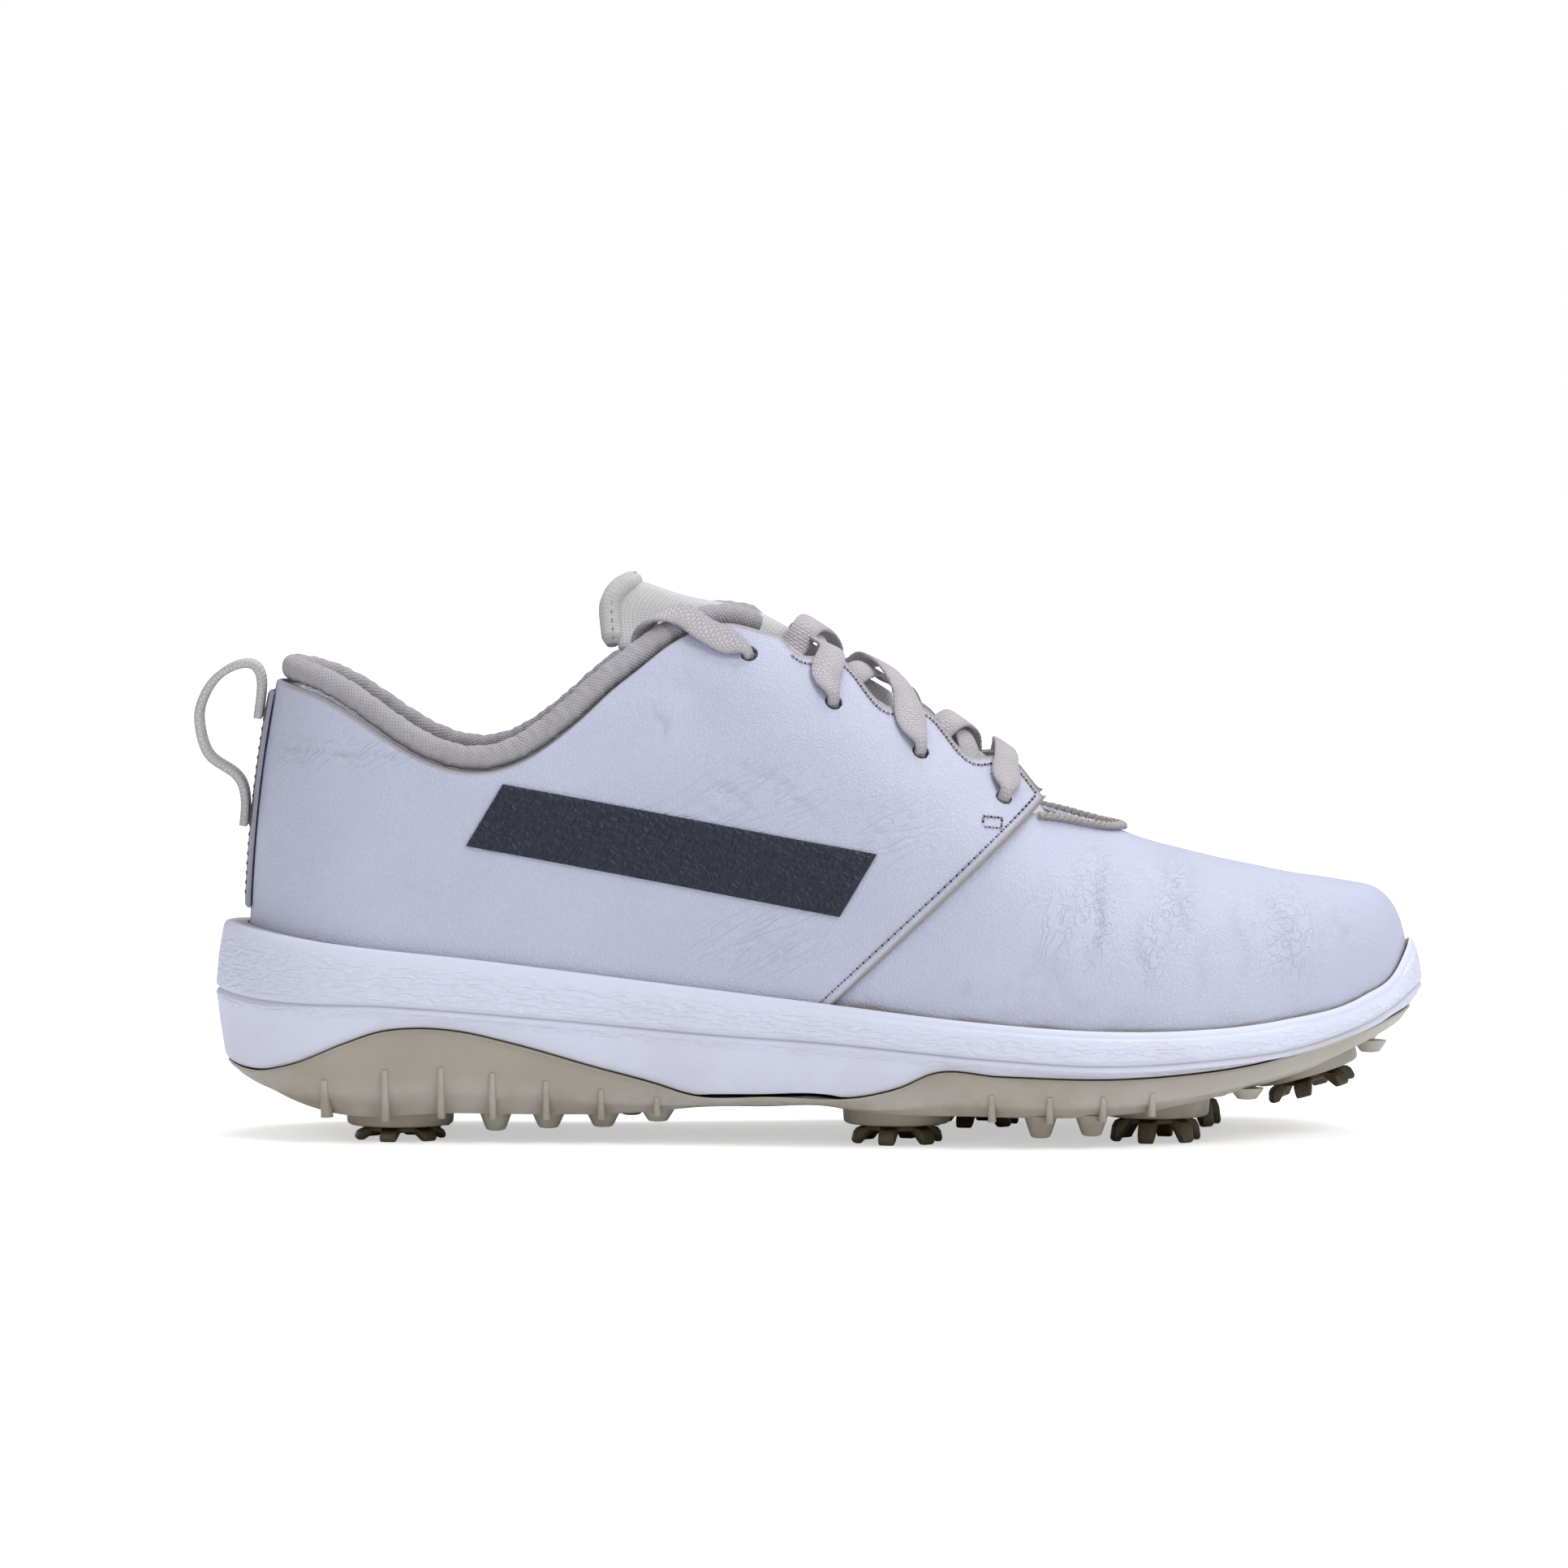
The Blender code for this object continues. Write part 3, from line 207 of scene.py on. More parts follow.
soft_light("key", (1.1, -0.9, 1.3), 0.7, 11)
soft_light("top", (0.2, 0.4, 1.8), 1.5, 21)
soft_light("fill", (-1.3, -1.2, 0.9), 1.0, 2.5)

# %% [markdown]
# ## The last
# Shoes are built over a last, a solid foot shape. Here it is a formula: a plan outline at
# the footbed, a ridge line along the instep, and between them a wall whose section is a
# superellipse. Two numbers name a point on it: r runs along the outer side to the toe and
# back along the inner side, and phi climbs from the footbed to the ridge. Every panel is
# the last's surface moved outwards by its own lift, so panels stay in the order of their
# lifts.

# %% The shoe's tables
# Plan of the upper where it meets the footbed, from heel to toe, (station, width).
PLAN_OUTER = [
    (10.5, 0), (15.5, -16), (30, -28.5), (55, -33.5), (90, -34.5), (125, -37.5),
    (160, -43.5), (190, -49), (215, -50), (240, -46), (262, -37.5), (280, -25), (293.5, -8),
]
PLAN_INNER = [
    (298.5, 8), (294.5, 24), (283, 36), (265, 43.5), (240, 46.5), (215, 45.5),
    (185, 40), (150, 32.5), (120, 29), (90, 29), (55, 31.5), (30, 27.5), (15.5, 16),
]
TOE_TIP = 298.5
HEEL_END = 10.5
HEEL_DRAWN, TOE_DRAWN = 95, 235  # behind and beyond these the wall's columns lean inwards

# Heights along the shoe, (station, height).
BED = [(0, 40), (45, 37.5), (100, 34), (150, 29.5), (200, 24.5), (235, 23.5), (260, 26),
       (280, 30.5), (302, 37)]
RIDGE = [(53, 172), (80, 158), (100, 145), (112, 139.6), (125, 135.6), (140, 130.5), (155, 121),
         (170, 112), (185, 102), (200, 91.5), (215, 81), (230, 74), (250, 68.6), (270, 64.4),
         (284, 61.9)]
RIDGE_WIDTH = [(53, 0), (100, 0), (150, 1), (200, 2), (250, 5), (284, 9)]
ROUNDNESS = [(53, 2.0), (100, 2.1), (140, 2.2), (175, 2.15), (205, 2.1), (235, 2.15),
             (260, 2.3), (284, 2.5)]
RIM = [(6, 54), (30, 50), (68, 45.7), (103, 41.4), (153, 35.6), (190, 31.5), (221, 29.3),
       (240, 29.2), (264, 31.1), (285, 35.8), (294, 41), (299, 48.9)]
GROOVE = [(0, 40.6), (6, 37.8), (14, 35.9), (45, 34.4), (88, 31), (125, 27.8), (153, 26.1),
          (195, 22.4), (218, 20.9), (240, 21.5), (273, 25.7), (288, 31), (302, 39.8)]
SOLE_LINE = [(0, 30), (5, 24.5), (11, 19), (16.3, 17.7), (23.4, 19.4), (35, 25), (43, 28.1),
             (51.7, 29.1), (61.4, 28.5), (75, 25.5), (96, 19.6), (110.5, 15.8), (119, 13.2),
             (139, 12.9), (164, 13.5), (171, 15.4), (179, 19), (195, 18.4), (224, 17.7),
             (240, 18.6), (259, 21), (273, 24.5), (288, 28.5), (302, 33)]
UNDERSIDE = [(2, 21), (12, 14.5), (20, 10.2), (28, 7.6), (60, 7.2), (108, 7.6), (122, 9),
             (137, 9.3), (152, 9.6), (160, 8.4), (190, 7.6), (215, 7.4), (230, 8.5),
             (245, 11), (260, 14.2), (275, 18), (290, 23.5), (302, 28)]

# How far the midsole stands out from the upper's plan, (station, margin).
MARGIN = [(8, 10.3), (40, 8.2), (80, 7.2), (150, 6.6), (200, 6.2), (250, 5.4), (285, 4.2),
          (298.5, 3.4)]

# The foot opening's padded roll and the lacing edge, in side view, (station, height).
COLLAR = [(18.8, 116.6), (27.3, 114.2), (35.8, 109.9), (43.9, 104.4), (53, 98.8),
          (61.2, 95.8), (68, 95.3), (76.2, 97.6), (84.5, 102.9), (91, 108.3), (97.4, 114.2),
          (103.9, 119.2), (110.5, 124.3), (117.6, 128.2), (124.7, 130.4), (131.2, 130.2),
          (137, 128.6)]
ROLL_RADIUS = 3.15
ROLL_CLEARANCE = 3.7

# %% Smooth curves through a table
def natural_spline(points):
    """A smooth function through (x, y) points: a cubic spline, straight at its ends."""
    x, y = np.array(points, float).T
    n, h = len(x), np.diff(x)
    system, right = np.eye(n), np.zeros(n)
    for i in range(1, n - 1):
        system[i, i - 1:i + 2] = h[i - 1], 2 * (h[i - 1] + h[i]), h[i]
        right[i] = 6 * ((y[i + 1] - y[i]) / h[i] - (y[i] - y[i - 1]) / h[i - 1])
    bend = np.linalg.solve(system, right)

    def value(at):
        """The spline's height there; past its ends it keeps the end's height."""
        at = np.clip(at, x[0], x[-1])
        i = np.clip(np.searchsorted(x, at) - 1, 0, n - 2)
        a, b = (x[i + 1] - at) / h[i], (at - x[i]) / h[i]
        cubic = (a**3 - a) * bend[i] + (b**3 - b) * bend[i + 1]
        return a * y[i] + b * y[i + 1] + cubic * h[i]**2 / 6
    return value


def local_curve(points):
    """A function through (x, y) points whose slope at each comes from its neighbours."""
    x, y = np.array(points, float).T
    slope = np.gradient(y, x)

    def value(at):
        """The curve's height there; past its ends it keeps the end's height."""
        at = np.clip(at, x[0], x[-1])
        i = np.clip(np.searchsorted(x, at) - 1, 0, len(x) - 2)
        h = x[i + 1] - x[i]
        t = (at - x[i]) / h
        ends = y[i] * (1 + 2 * t) * (1 - t)**2 + y[i + 1] * t * t * (3 - 2 * t)
        return ends + h * (slope[i] * t * (1 - t)**2 - slope[i + 1] * t * t * (1 - t))
    return value


def smoothstep(low, high, x):
    """3t^2 - 2t^3, where t is how far x is from low to high: a rise with soft ends."""
    t = np.clip((x - low) / (high - low), 0, 1)
    return t * t * (3 - 2 * t)


bed_height = natural_spline(BED)
ridge_height = natural_spline(RIDGE)
ridge_width = natural_spline(RIDGE_WIDTH)
roundness = natural_spline(ROUNDNESS)
rim_height = local_curve(RIM)
groove_height = local_curve(GROOVE)
line_height = local_curve(SOLE_LINE)
underside = local_curve(UNDERSIDE)
margin = local_curve(MARGIN)
collar_height = natural_spline(COLLAR)


# %% Plan, wall and lift
def ring_splines():
    """x(r) and y(r) of the plan: r runs 0 to 1 along the outer side, then 1 to 2 back
    along the inner. The loop's own points are repeated past its ends, so it joins smoothly."""
    outer, inner = np.array(PLAN_OUTER, float), np.array(PLAN_INNER, float)
    loop = np.concatenate([outer, inner])
    step = np.linalg.norm(np.diff(np.concatenate([loop, loop[:1]]), axis=0), axis=1)
    along = np.concatenate([[0], np.cumsum(step)])
    toe = along[len(outer)]
    knots = np.where(along <= toe, along / toe, 1 + (along - toe) / (along[-1] - toe))
    wrap = 4
    t = np.concatenate([knots[-1 - wrap:-1] - 2, knots, knots[1:1 + wrap] + 2])
    closed = np.concatenate([loop, loop[:1]])
    points = np.concatenate([closed[-1 - wrap:-1], closed, closed[1:1 + wrap]])
    return [natural_spline(np.column_stack([t, points[:, k]])) for k in (0, 1)]


plan_x, plan_y = ring_splines()


def plan(r):
    """(station, width) of the upper's foot at ring value r."""
    r = np.mod(r, 2)
    return plan_x(r), plan_y(r)


def plan_normal(r):
    """The plan's outward normal."""
    step = 0.004
    (ax, ay), (bx, by) = plan(r - step), plan(r + step)
    length = np.hypot(bx - ax, by - ay)
    return (by - ay) / length, (ax - bx) / length


def side_table(side):
    """(stations, ring values) along one side, to look a ring value up by its station."""
    r = np.linspace(0, 1, 600) if side == OUTER else np.linspace(2, 1, 600)
    return np.maximum.accumulate(plan(r)[0]), r


TABLES = {side: side_table(side) for side in (OUTER, INNER)}


def ring_of(side, station):
    """The ring value r at which the plan reaches this station on this side."""
    return np.interp(station, *TABLES[side])


def ridge_station(station):
    """The station on the ridge that a wall column leads to. In the middle it is the same;
    at both ends a power of the distance draws it in to the ridge's first or last station."""
    (first, _), (last, _) = RIDGE[0], RIDGE[-1]
    heel = np.clip((station - HEEL_END) / (HEEL_DRAWN - HEEL_END), 0, 1)
    toe = np.clip((station - TOE_DRAWN) / (TOE_TIP - TOE_DRAWN), 0, 1)
    drawn = np.where(station < HEEL_DRAWN, first + (HEEL_DRAWN - first) * heel**2.012, station)
    return np.where(station > TOE_DRAWN, last - (last - TOE_DRAWN) * (1 - toe)**1.296, drawn)


def base(r, phi):
    """A rounded wall: phi runs from 0 at the footbed to a right angle on the ridge."""
    x, y = plan(r)
    top = ridge_station(x)
    power = 2 / roundness(top)
    across = 1 - np.cos(phi)**power
    low = bed_height(x)
    return np.stack([
        x + (top - x) * across,
        y + (ridge_width(top) - y) * across,
        low + (ridge_height(top) - low) * np.sin(phi)**power,
    ], axis=-1)


def upper(r, phi, lift):
    """A point this far outside the base surface."""
    r, phi, lift = np.broadcast_arrays(np.asarray(r, float), phi, lift)
    step, most = 1e-3, math.pi / 2
    phi = np.clip(phi, 0, most)
    inner_phi = np.clip(phi, 0.03, most - 0.06)
    along = base(r + step, inner_phi) - base(r - step, inner_phi)
    up = base(r, inner_phi + step) - base(r, inner_phi - step)
    normal = np.cross(along, up)
    normal /= np.linalg.norm(normal, axis=-1, keepdims=True)
    top = ridge_station(plan(r)[0])
    tilt = ridge_height(top + 0.5) - ridge_height(top - 0.5)
    crest = np.stack([-tilt, np.zeros_like(tilt), np.ones_like(tilt)], axis=-1)
    crest /= np.linalg.norm(crest, axis=-1, keepdims=True)
    near_top = smoothstep(math.radians(78), math.radians(90), phi)[..., None]
    normal = normal * (1 - near_top) + crest * near_top
    normal /= np.linalg.norm(normal, axis=-1, keepdims=True)
    return base(r, phi) + normal * lift[..., None]


def phi_at(station, height):
    """The wall angle at which a column that starts at this station reaches this height."""
    top = ridge_station(station)
    low = bed_height(station)
    part = np.clip((height - low) / (ridge_height(top) - low), 0, 1)
    return np.arcsin(part**(roundness(top) / 2))


def locate(side, x, z):
    """(r, phi) of the point that side view puts at station x and height z."""
    x, z = np.broadcast_arrays(np.asarray(x, float), np.asarray(z, float))
    station = x.copy()
    for _ in range(30):
        phi = phi_at(station, z)
        across = 1 - np.cos(phi)**(2 / roundness(ridge_station(station)))
        reached = station + (ridge_station(station) - station) * across
        station = np.clip(station + 0.7 * (x - reached), HEEL_END, TOE_TIP)
    return ring_of(side, station), phi_at(station, z)


# %% [markdown]
# ## Building blocks
# Leather, foam and cloth are sheets and rolls. A sheet is one grid of points for its outer
# face and one for its inner face, joined by walls where the grid ends or has a hole. A
# roll is a section carried along a path. Both are worked out as whole arrays.

# %% Meshes from arrays
def signed_volume(points, faces):
    """Sum of (corner . corner x corner) / 6 over the triangles: positive if faces look out."""
    a, b, c, d = (points[faces[:, k]] for k in range(4))
    return ((a * np.cross(b, c)).sum() + (a * np.cross(c, d)).sum()) / 6


def make_piece(name, points, faces, paint, uv=None, values=None, sharp=50):
    """A mesh object in the frame from points in mm, quads, and what each point carries."""
    points = world(points)
    if signed_volume(points - points.mean(axis=0), faces) < 0:
        faces = faces[:, ::-1]
    mesh = bpy.data.meshes.new(name)
    mesh.vertices.add(len(points))
    mesh.vertices.foreach_set("co", points.astype(np.float32).ravel())
    mesh.loops.add(faces.size)
    mesh.loops.foreach_set("vertex_index", faces.astype(np.int32).ravel())
    mesh.polygons.add(len(faces))
    mesh.polygons.foreach_set("loop_start", np.arange(0, faces.size, 4, dtype=np.int32))
    if uv is not None:
        layer = mesh.uv_layers.new(name="surface")
        layer.data.foreach_set("uv", uv[faces.ravel()].astype(np.float32).ravel())
    for label, value in (values or {}).items():
        attribute = mesh.attributes.new(label, "FLOAT", "POINT")
        attribute.data.foreach_set("value", value.astype(np.float32))
    mesh.update(calc_edges=True)
    mesh.validate()
    mesh.shade_smooth()
    mesh.set_sharp_from_angle(angle=math.radians(sharp))
    made = bpy.data.objects.new(name, mesh)
    bpy.context.scene.collection.objects.link(made)
    made.data.materials.append(paint)
    return made


def finish_piece(piece, body, slot, *replaced):
    """Says what the piece moves with and which nodes it stands for; slot, its finish, is not used.
    """
    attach(piece, body)
    if replaced:
        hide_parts(*replaced)
    print(f"{piece.name}: {len(piece.data.polygons)} faces")
    return piece


def shell(outer, inner, keep=None, zip_top=False):
    """(points, quads) of a closed sheet between two grids of the same shape.

    Each kept cell gives an outer face and the same face turned round on the inner grid.
    A cell edge that only one kept cell uses is on the border, so a wall closes it.
    zip_top joins the top row to its own mirror image, as on a ridge."""
    rows, columns = outer.shape[:2]
    index = np.arange(rows * columns).reshape(rows, columns)
    if zip_top:
        index[-1] = np.minimum(index[-1], index[-1, ::-1])
    cells = np.stack([index[:-1, :-1], index[:-1, 1:], index[1:, 1:], index[1:, :-1]], axis=-1)
    quads = cells.reshape(-1, 4) if keep is None else cells[keep]
    edges = quads[:, [0, 1, 1, 2, 2, 3, 3, 0]].reshape(-1, 2)
    code = edges.min(axis=1) * rows * columns + edges.max(axis=1)
    _, place, uses = np.unique(code, return_inverse=True, return_counts=True)
    rim = edges[(uses[place.ravel()] == 1) & (edges[:, 0] != edges[:, 1])]
    far = rows * columns
    walls = np.stack([rim[:, 1], rim[:, 0], rim[:, 0] + far, rim[:, 1] + far], axis=-1)
    faces = np.concatenate([quads, quads[:, ::-1] + far, walls])
    return np.concatenate([outer.reshape(-1, 3), inner.reshape(-1, 3)]), faces


def tidy(points, faces, *carried):
    """Drops the points that no face uses; carried are arrays with one row for each point."""
    used, renumbered = np.unique(faces, return_inverse=True)
    return (points[used], renumbered.reshape(faces.shape), *(c[used] for c in carried))


def run_along(path):
    """How far along the path each of its points lies."""
    return np.concatenate([[0], np.cumsum(np.linalg.norm(np.diff(path, axis=0), axis=1))])


def tube_quads(index):
    """The quads between neighbouring rings of a grid of point numbers, each ring closed."""
    beside = np.roll(index, -1, axis=1)
    return np.stack([index[:-1], beside[:-1], beside[1:], index[1:]], axis=-1).reshape(-1, 4)


def roll(path, normal, section):
    """(points, quads, uv): a section carried along a path, with ends drawn to a point.

    path is (n, 3); normal (n, 3) is which way the section's second axis looks; section is
    (n, m, 2), each row's outline. Point = path + a * (way x normal) + b * normal."""
    way = np.gradient(path, axis=0)
    way /= np.linalg.norm(way, axis=1, keepdims=True)
    across = np.cross(way, normal)
    across /= np.linalg.norm(across, axis=1, keepdims=True)
    normal = np.cross(across, way)
    rings = (path[:, None] + section[..., :1] * across[:, None]
             + section[..., 1:] * normal[:, None])
    rings = np.concatenate([0.001 * rings[:1] + 0.999 * path[:1, None], rings,
                            0.001 * rings[-1:] + 0.999 * path[-1:, None]])
    n, m = rings.shape[:2]
    index = np.arange(n * m).reshape(n, m)
    k = np.arange(m // 2 - 1)
    first, last = index[0], index[-1]
    caps = np.concatenate([
        np.stack([first[k + 1], first[k], first[m - 1 - k], first[m - 2 - k]], axis=-1),
        np.stack([last[k], last[k + 1], last[m - 2 - k], last[m - 1 - k]], axis=-1),
    ])
    run = run_along(path)
    run = np.concatenate([run[:1], run, run[-1:]])
    turn = np.arange(m) / m
    uv = np.stack(np.broadcast_arrays(turn[None], run[:, None]), axis=-1).reshape(-1, 2)
    return rings.reshape(-1, 3), np.concatenate([tube_quads(index), caps]), uv


def resample(path, step, *carried):
    """The path's points, and arrays that go with them, at even spacing along it."""
    run = run_along(path)
    at = np.linspace(0, run[-1], max(3, int(round(run[-1] / step)) + 1))
    read = [np.stack([np.interp(at, run, c[:, k]) for k in range(c.shape[1])], axis=-1)
            for c in (path, *carried)]
    return read[0] if not carried else read


def outline(width, height, sides, power=2.5):
    """A flattened round outline: |2x / width|^power + |2y / height|^power = 1."""
    turn = 2 * math.pi * (np.arange(sides) + 0.5) / sides
    c, s = np.cos(turn), np.sin(turn)
    return np.stack([width / 2 * np.sign(c) * np.abs(c)**(2 / power),
                     height / 2 * np.sign(s) * np.abs(s)**(2 / power)], axis=-1)


def join(parts):
    """One (points, quads, uv) from several."""
    starts = np.cumsum([0] + [len(part[0]) for part in parts[:-1]])
    return (np.concatenate([part[0] for part in parts]),
            np.concatenate([part[1] + start for part, start in zip(parts, starts)]),
            np.concatenate([part[2] for part in parts]))


def stitches(path, normal, length=2.0, gap=0.9, thick=0.5, first=0.5):
    """(points, quads, uv): a row of thread dashes, each a small bow that dips at its ends."""
    run = run_along(path)
    count = int(run[-1] // (length + gap))
    starts = (np.arange(count) + first) * (length + gap) - length / 2
    bow = np.linspace(0, 1, 5)
    at = starts[:, None] + bow * length
    centre = np.stack([np.interp(at, run, path[:, k]) for k in range(3)], axis=-1)
    out = np.stack([np.interp(at, run, normal[:, k]) for k in range(3)], axis=-1)
    out /= np.linalg.norm(out, axis=-1, keepdims=True)
    way = np.gradient(centre, axis=1)
    way /= np.linalg.norm(way, axis=-1, keepdims=True)
    across = np.cross(way, out)
    rise = (np.sin(math.pi * bow) * 0.45 - 0.22)[:, None]
    centre = centre + out * rise * thick * 1.6
    fat = np.array([0.35, 0.95, 1, 0.95, 0.35]) * thick / 2
    turn = 2 * math.pi * np.arange(6) / 6
    rings = (centre[:, :, None] + fat[None, :, None, None] * (
        np.cos(turn)[:, None] * across[:, :, None] + np.sin(turn)[:, None] * out[:, :, None]))
    index = np.arange(count * 5 * 6).reshape(count, 5, 6)
    nxt = np.roll(index, -1, axis=2)
    faces = np.stack([index[:, :-1], nxt[:, :-1], nxt[:, 1:], index[:, 1:]], axis=-1)
    caps = np.concatenate([index[:, 0][:, [3, 2, 1, 0]], index[:, 0][:, [5, 4, 3, 0]],
                           index[:, 4][:, [0, 1, 2, 3]], index[:, 4][:, [0, 3, 4, 5]]])
    uv = np.zeros((index.size, 2))
    return rings.reshape(-1, 3), np.concatenate([faces.reshape(-1, 4), caps]), uv


# %% [markdown]
# ## Finishes that several materials share
# Leather grain, woven thread and ground-in dirt turn up on many pieces, so each is a
# node group that is built once. A group only puts out heights, masks and colours; the
# shader itself stays in each material, where gloss and colour are set for that piece.

# %% Grain, weave and dirt groups
def build_grain():
    """Height = pebbles between creases; Mottle = slow cloudiness, both over Object space."""
    tree, given, out = shader_group(
        "grain", [("Vector", "Vector", None), ("Pebble Scale", "Float", 900.0),
                  ("Cloud Scale", "Float", 28.0)],
        [("Height", "Float"), ("Mottle", "Float")])
    warp = add(tree, "TexNoise", {"Vector": given.outputs["Vector"], "Scale": 260.0, "Detail": 2.0})
    bend = add(tree, "VectorMath", {0: warp.outputs["Color"], "Scale": 0.0016}, operation="SCALE")
    bent = add(tree, "VectorMath", {0: given.outputs["Vector"], 1: bend.outputs[0]})
    cells = add(tree, "TexVoronoi", {"Vector": bent.outputs[0],
                                     "Scale": given.outputs["Pebble Scale"]},
                feature="DISTANCE_TO_EDGE")
    raised = add(tree, "MapRange", {"Value": cells.outputs["Distance"], "From Max": 0.22},
                 interpolation_type="SMOOTHSTEP")
    fine = add(tree, "TexNoise", {"Vector": given.outputs["Vector"], "Scale": 1400.0,
                                  "Detail": 3.0})
    both = add(tree, "Math", {0: fine.outputs["Fac"], 1: 0.5, 2: raised.outputs[0]},
               operation="MULTIPLY_ADD")
    tree.links.new(both.outputs[0], out.inputs["Height"])
    cloud = add(tree, "TexNoise", {"Vector": given.outputs["Vector"],
                                   "Scale": given.outputs["Cloud Scale"], "Detail": 4.0})
    tree.links.new(cloud.outputs["Fac"], out.inputs["Mottle"])
    return tree


def build_weave():
    """Height of crossing threads over a surface's own UV: |sin| across times |sin| along,
    with every second row shifted by half a thread; Tone tells one thread from the next."""
    tree, given, out = shader_group(
        "weave", [("Vector", "Vector", None), ("Across", "Float", 12.0), ("Along", "Float", 1.0),
                  ("Slant", "Float", 0.0)],
        [("Height", "Float"), ("Tone", "Float")])
    split = add(tree, "SeparateXYZ", {0: given.outputs["Vector"]})
    u = add(tree, "Math", {0: split.outputs[0], 1: given.outputs["Across"]}, operation="MULTIPLY")
    v = add(tree, "Math", {0: split.outputs[1], 1: given.outputs["Along"]}, operation="MULTIPLY")
    lean = add(tree, "Math", {0: u.outputs[0], 1: given.outputs["Slant"], 2: v.outputs[0]},
               operation="MULTIPLY_ADD")
    row = add(tree, "Math", {0: lean.outputs[0]}, operation="FLOOR")
    half = add(tree, "Math", {0: row.outputs[0], 1: 0.5, 2: u.outputs[0]},
               operation="MULTIPLY_ADD")
    waves = []
    for source in (half, lean):
        turn = add(tree, "Math", {0: source.outputs[0], 1: math.pi}, operation="MULTIPLY")
        sine = add(tree, "Math", {0: turn.outputs[0]}, operation="SINE")
        waves.append(add(tree, "Math", {0: sine.outputs[0]}, operation="ABSOLUTE"))
    height = add(tree, "Math", {0: waves[0].outputs[0], 1: waves[1].outputs[0]},
                 operation="MULTIPLY")
    tree.links.new(height.outputs[0], out.inputs["Height"])
    tone = add(tree, "TexWhiteNoise", {"W": row.outputs[0]}, noise_dimensions="1D")
    tree.links.new(tone.outputs[0], out.inputs["Tone"])
    return tree


def build_dirt():
    """Mask = patches of dirt, thick near the ground and thin above: noise past a threshold
    that rises with height."""
    tree, given, out = shader_group(
        "dirt", [("Vector", "Vector", None), ("Clean Height", "Float", 0.03),
                 ("Patch Scale", "Float", 60.0)],
        [("Mask", "Float")])
    split = add(tree, "SeparateXYZ", {0: given.outputs["Vector"]})
    low = add(tree, "MapRange", {"Value": split.outputs[2], "From Min": 0.0,
                                 "From Max": given.outputs["Clean Height"],
                                 "To Min": 0.75, "To Max": 0.12})
    patch = add(tree, "TexNoise", {"Vector": given.outputs["Vector"],
                                   "Scale": given.outputs["Patch Scale"], "Detail": 6.0,
                                   "Roughness": 0.65})
    past = add(tree, "Math", {0: patch.outputs["Fac"], 1: low.outputs[0]}, operation="ADD")
    mask = add(tree, "MapRange", {"Value": past.outputs[0], "From Min": 0.75, "From Max": 1.2},
               interpolation_type="SMOOTHSTEP")
    tree.links.new(mask.outputs[0], out.inputs["Mask"])
    return tree


grain, weave, dirt = build_grain(), build_weave(), build_dirt()
print("node groups:", grain.name, weave.name, dirt.name)

# %% [markdown]
# ## Leather
# The upper is smooth full-grain leather with a white finish. Up close it has fine
# pebbles and cloudy patches, and worn dirt gathers in a light tan; the same tan is painted
# into creases and along the vamp's foot just above the midsole as shade. The colour mixes
# those over a bluish white, and the pebbles and wear only bend the light, by a bump.

# %% Leather, foam, rubber and plastic
def mixed(tree, mask, first, second):
    """A colour that goes from first to second as the mask goes from 0 to 1."""
    made = add(tree, "Mix", {0: mask}, data_type="RGBA")
    for index, colour in ((6, first), (7, second)):
        if isinstance(colour, bpy.types.NodeSocket):
            tree.links.new(colour, made.inputs[index])
        else:
            made.inputs[index].default_value = (*colour, 1)
    return made.outputs[2]


def dirt_amount(tree, place, clean, stain, patch=60.0):
    """How far each spot turns to the dirty colour: stain * dirt mask + the piece's tint_share."""
    tint_share = place_group(tree, dirt, {"Vector": place, "Clean Height": clean,
                                    "Patch Scale": patch})
    # The tint_share attribute holds worn edges and painted shade in creases, the groove and joints.
    edge = add(tree, "Attribute", attribute_name="tint_share").outputs["Fac"]
    return add(tree, "Math", {0: tint_share.outputs[0], 1: stain, 2: edge},
               operation="MULTIPLY_ADD").outputs[0]


def raise_surface(tree, shader, height, strength, distance):
    """Bends the light as if the surface rose by height, at most distance metres."""
    bump = add(tree, "Bump", {"Height": height, "Strength": strength, "Distance": distance})
    tree.links.new(bump.outputs[0], shader.inputs["Normal"])


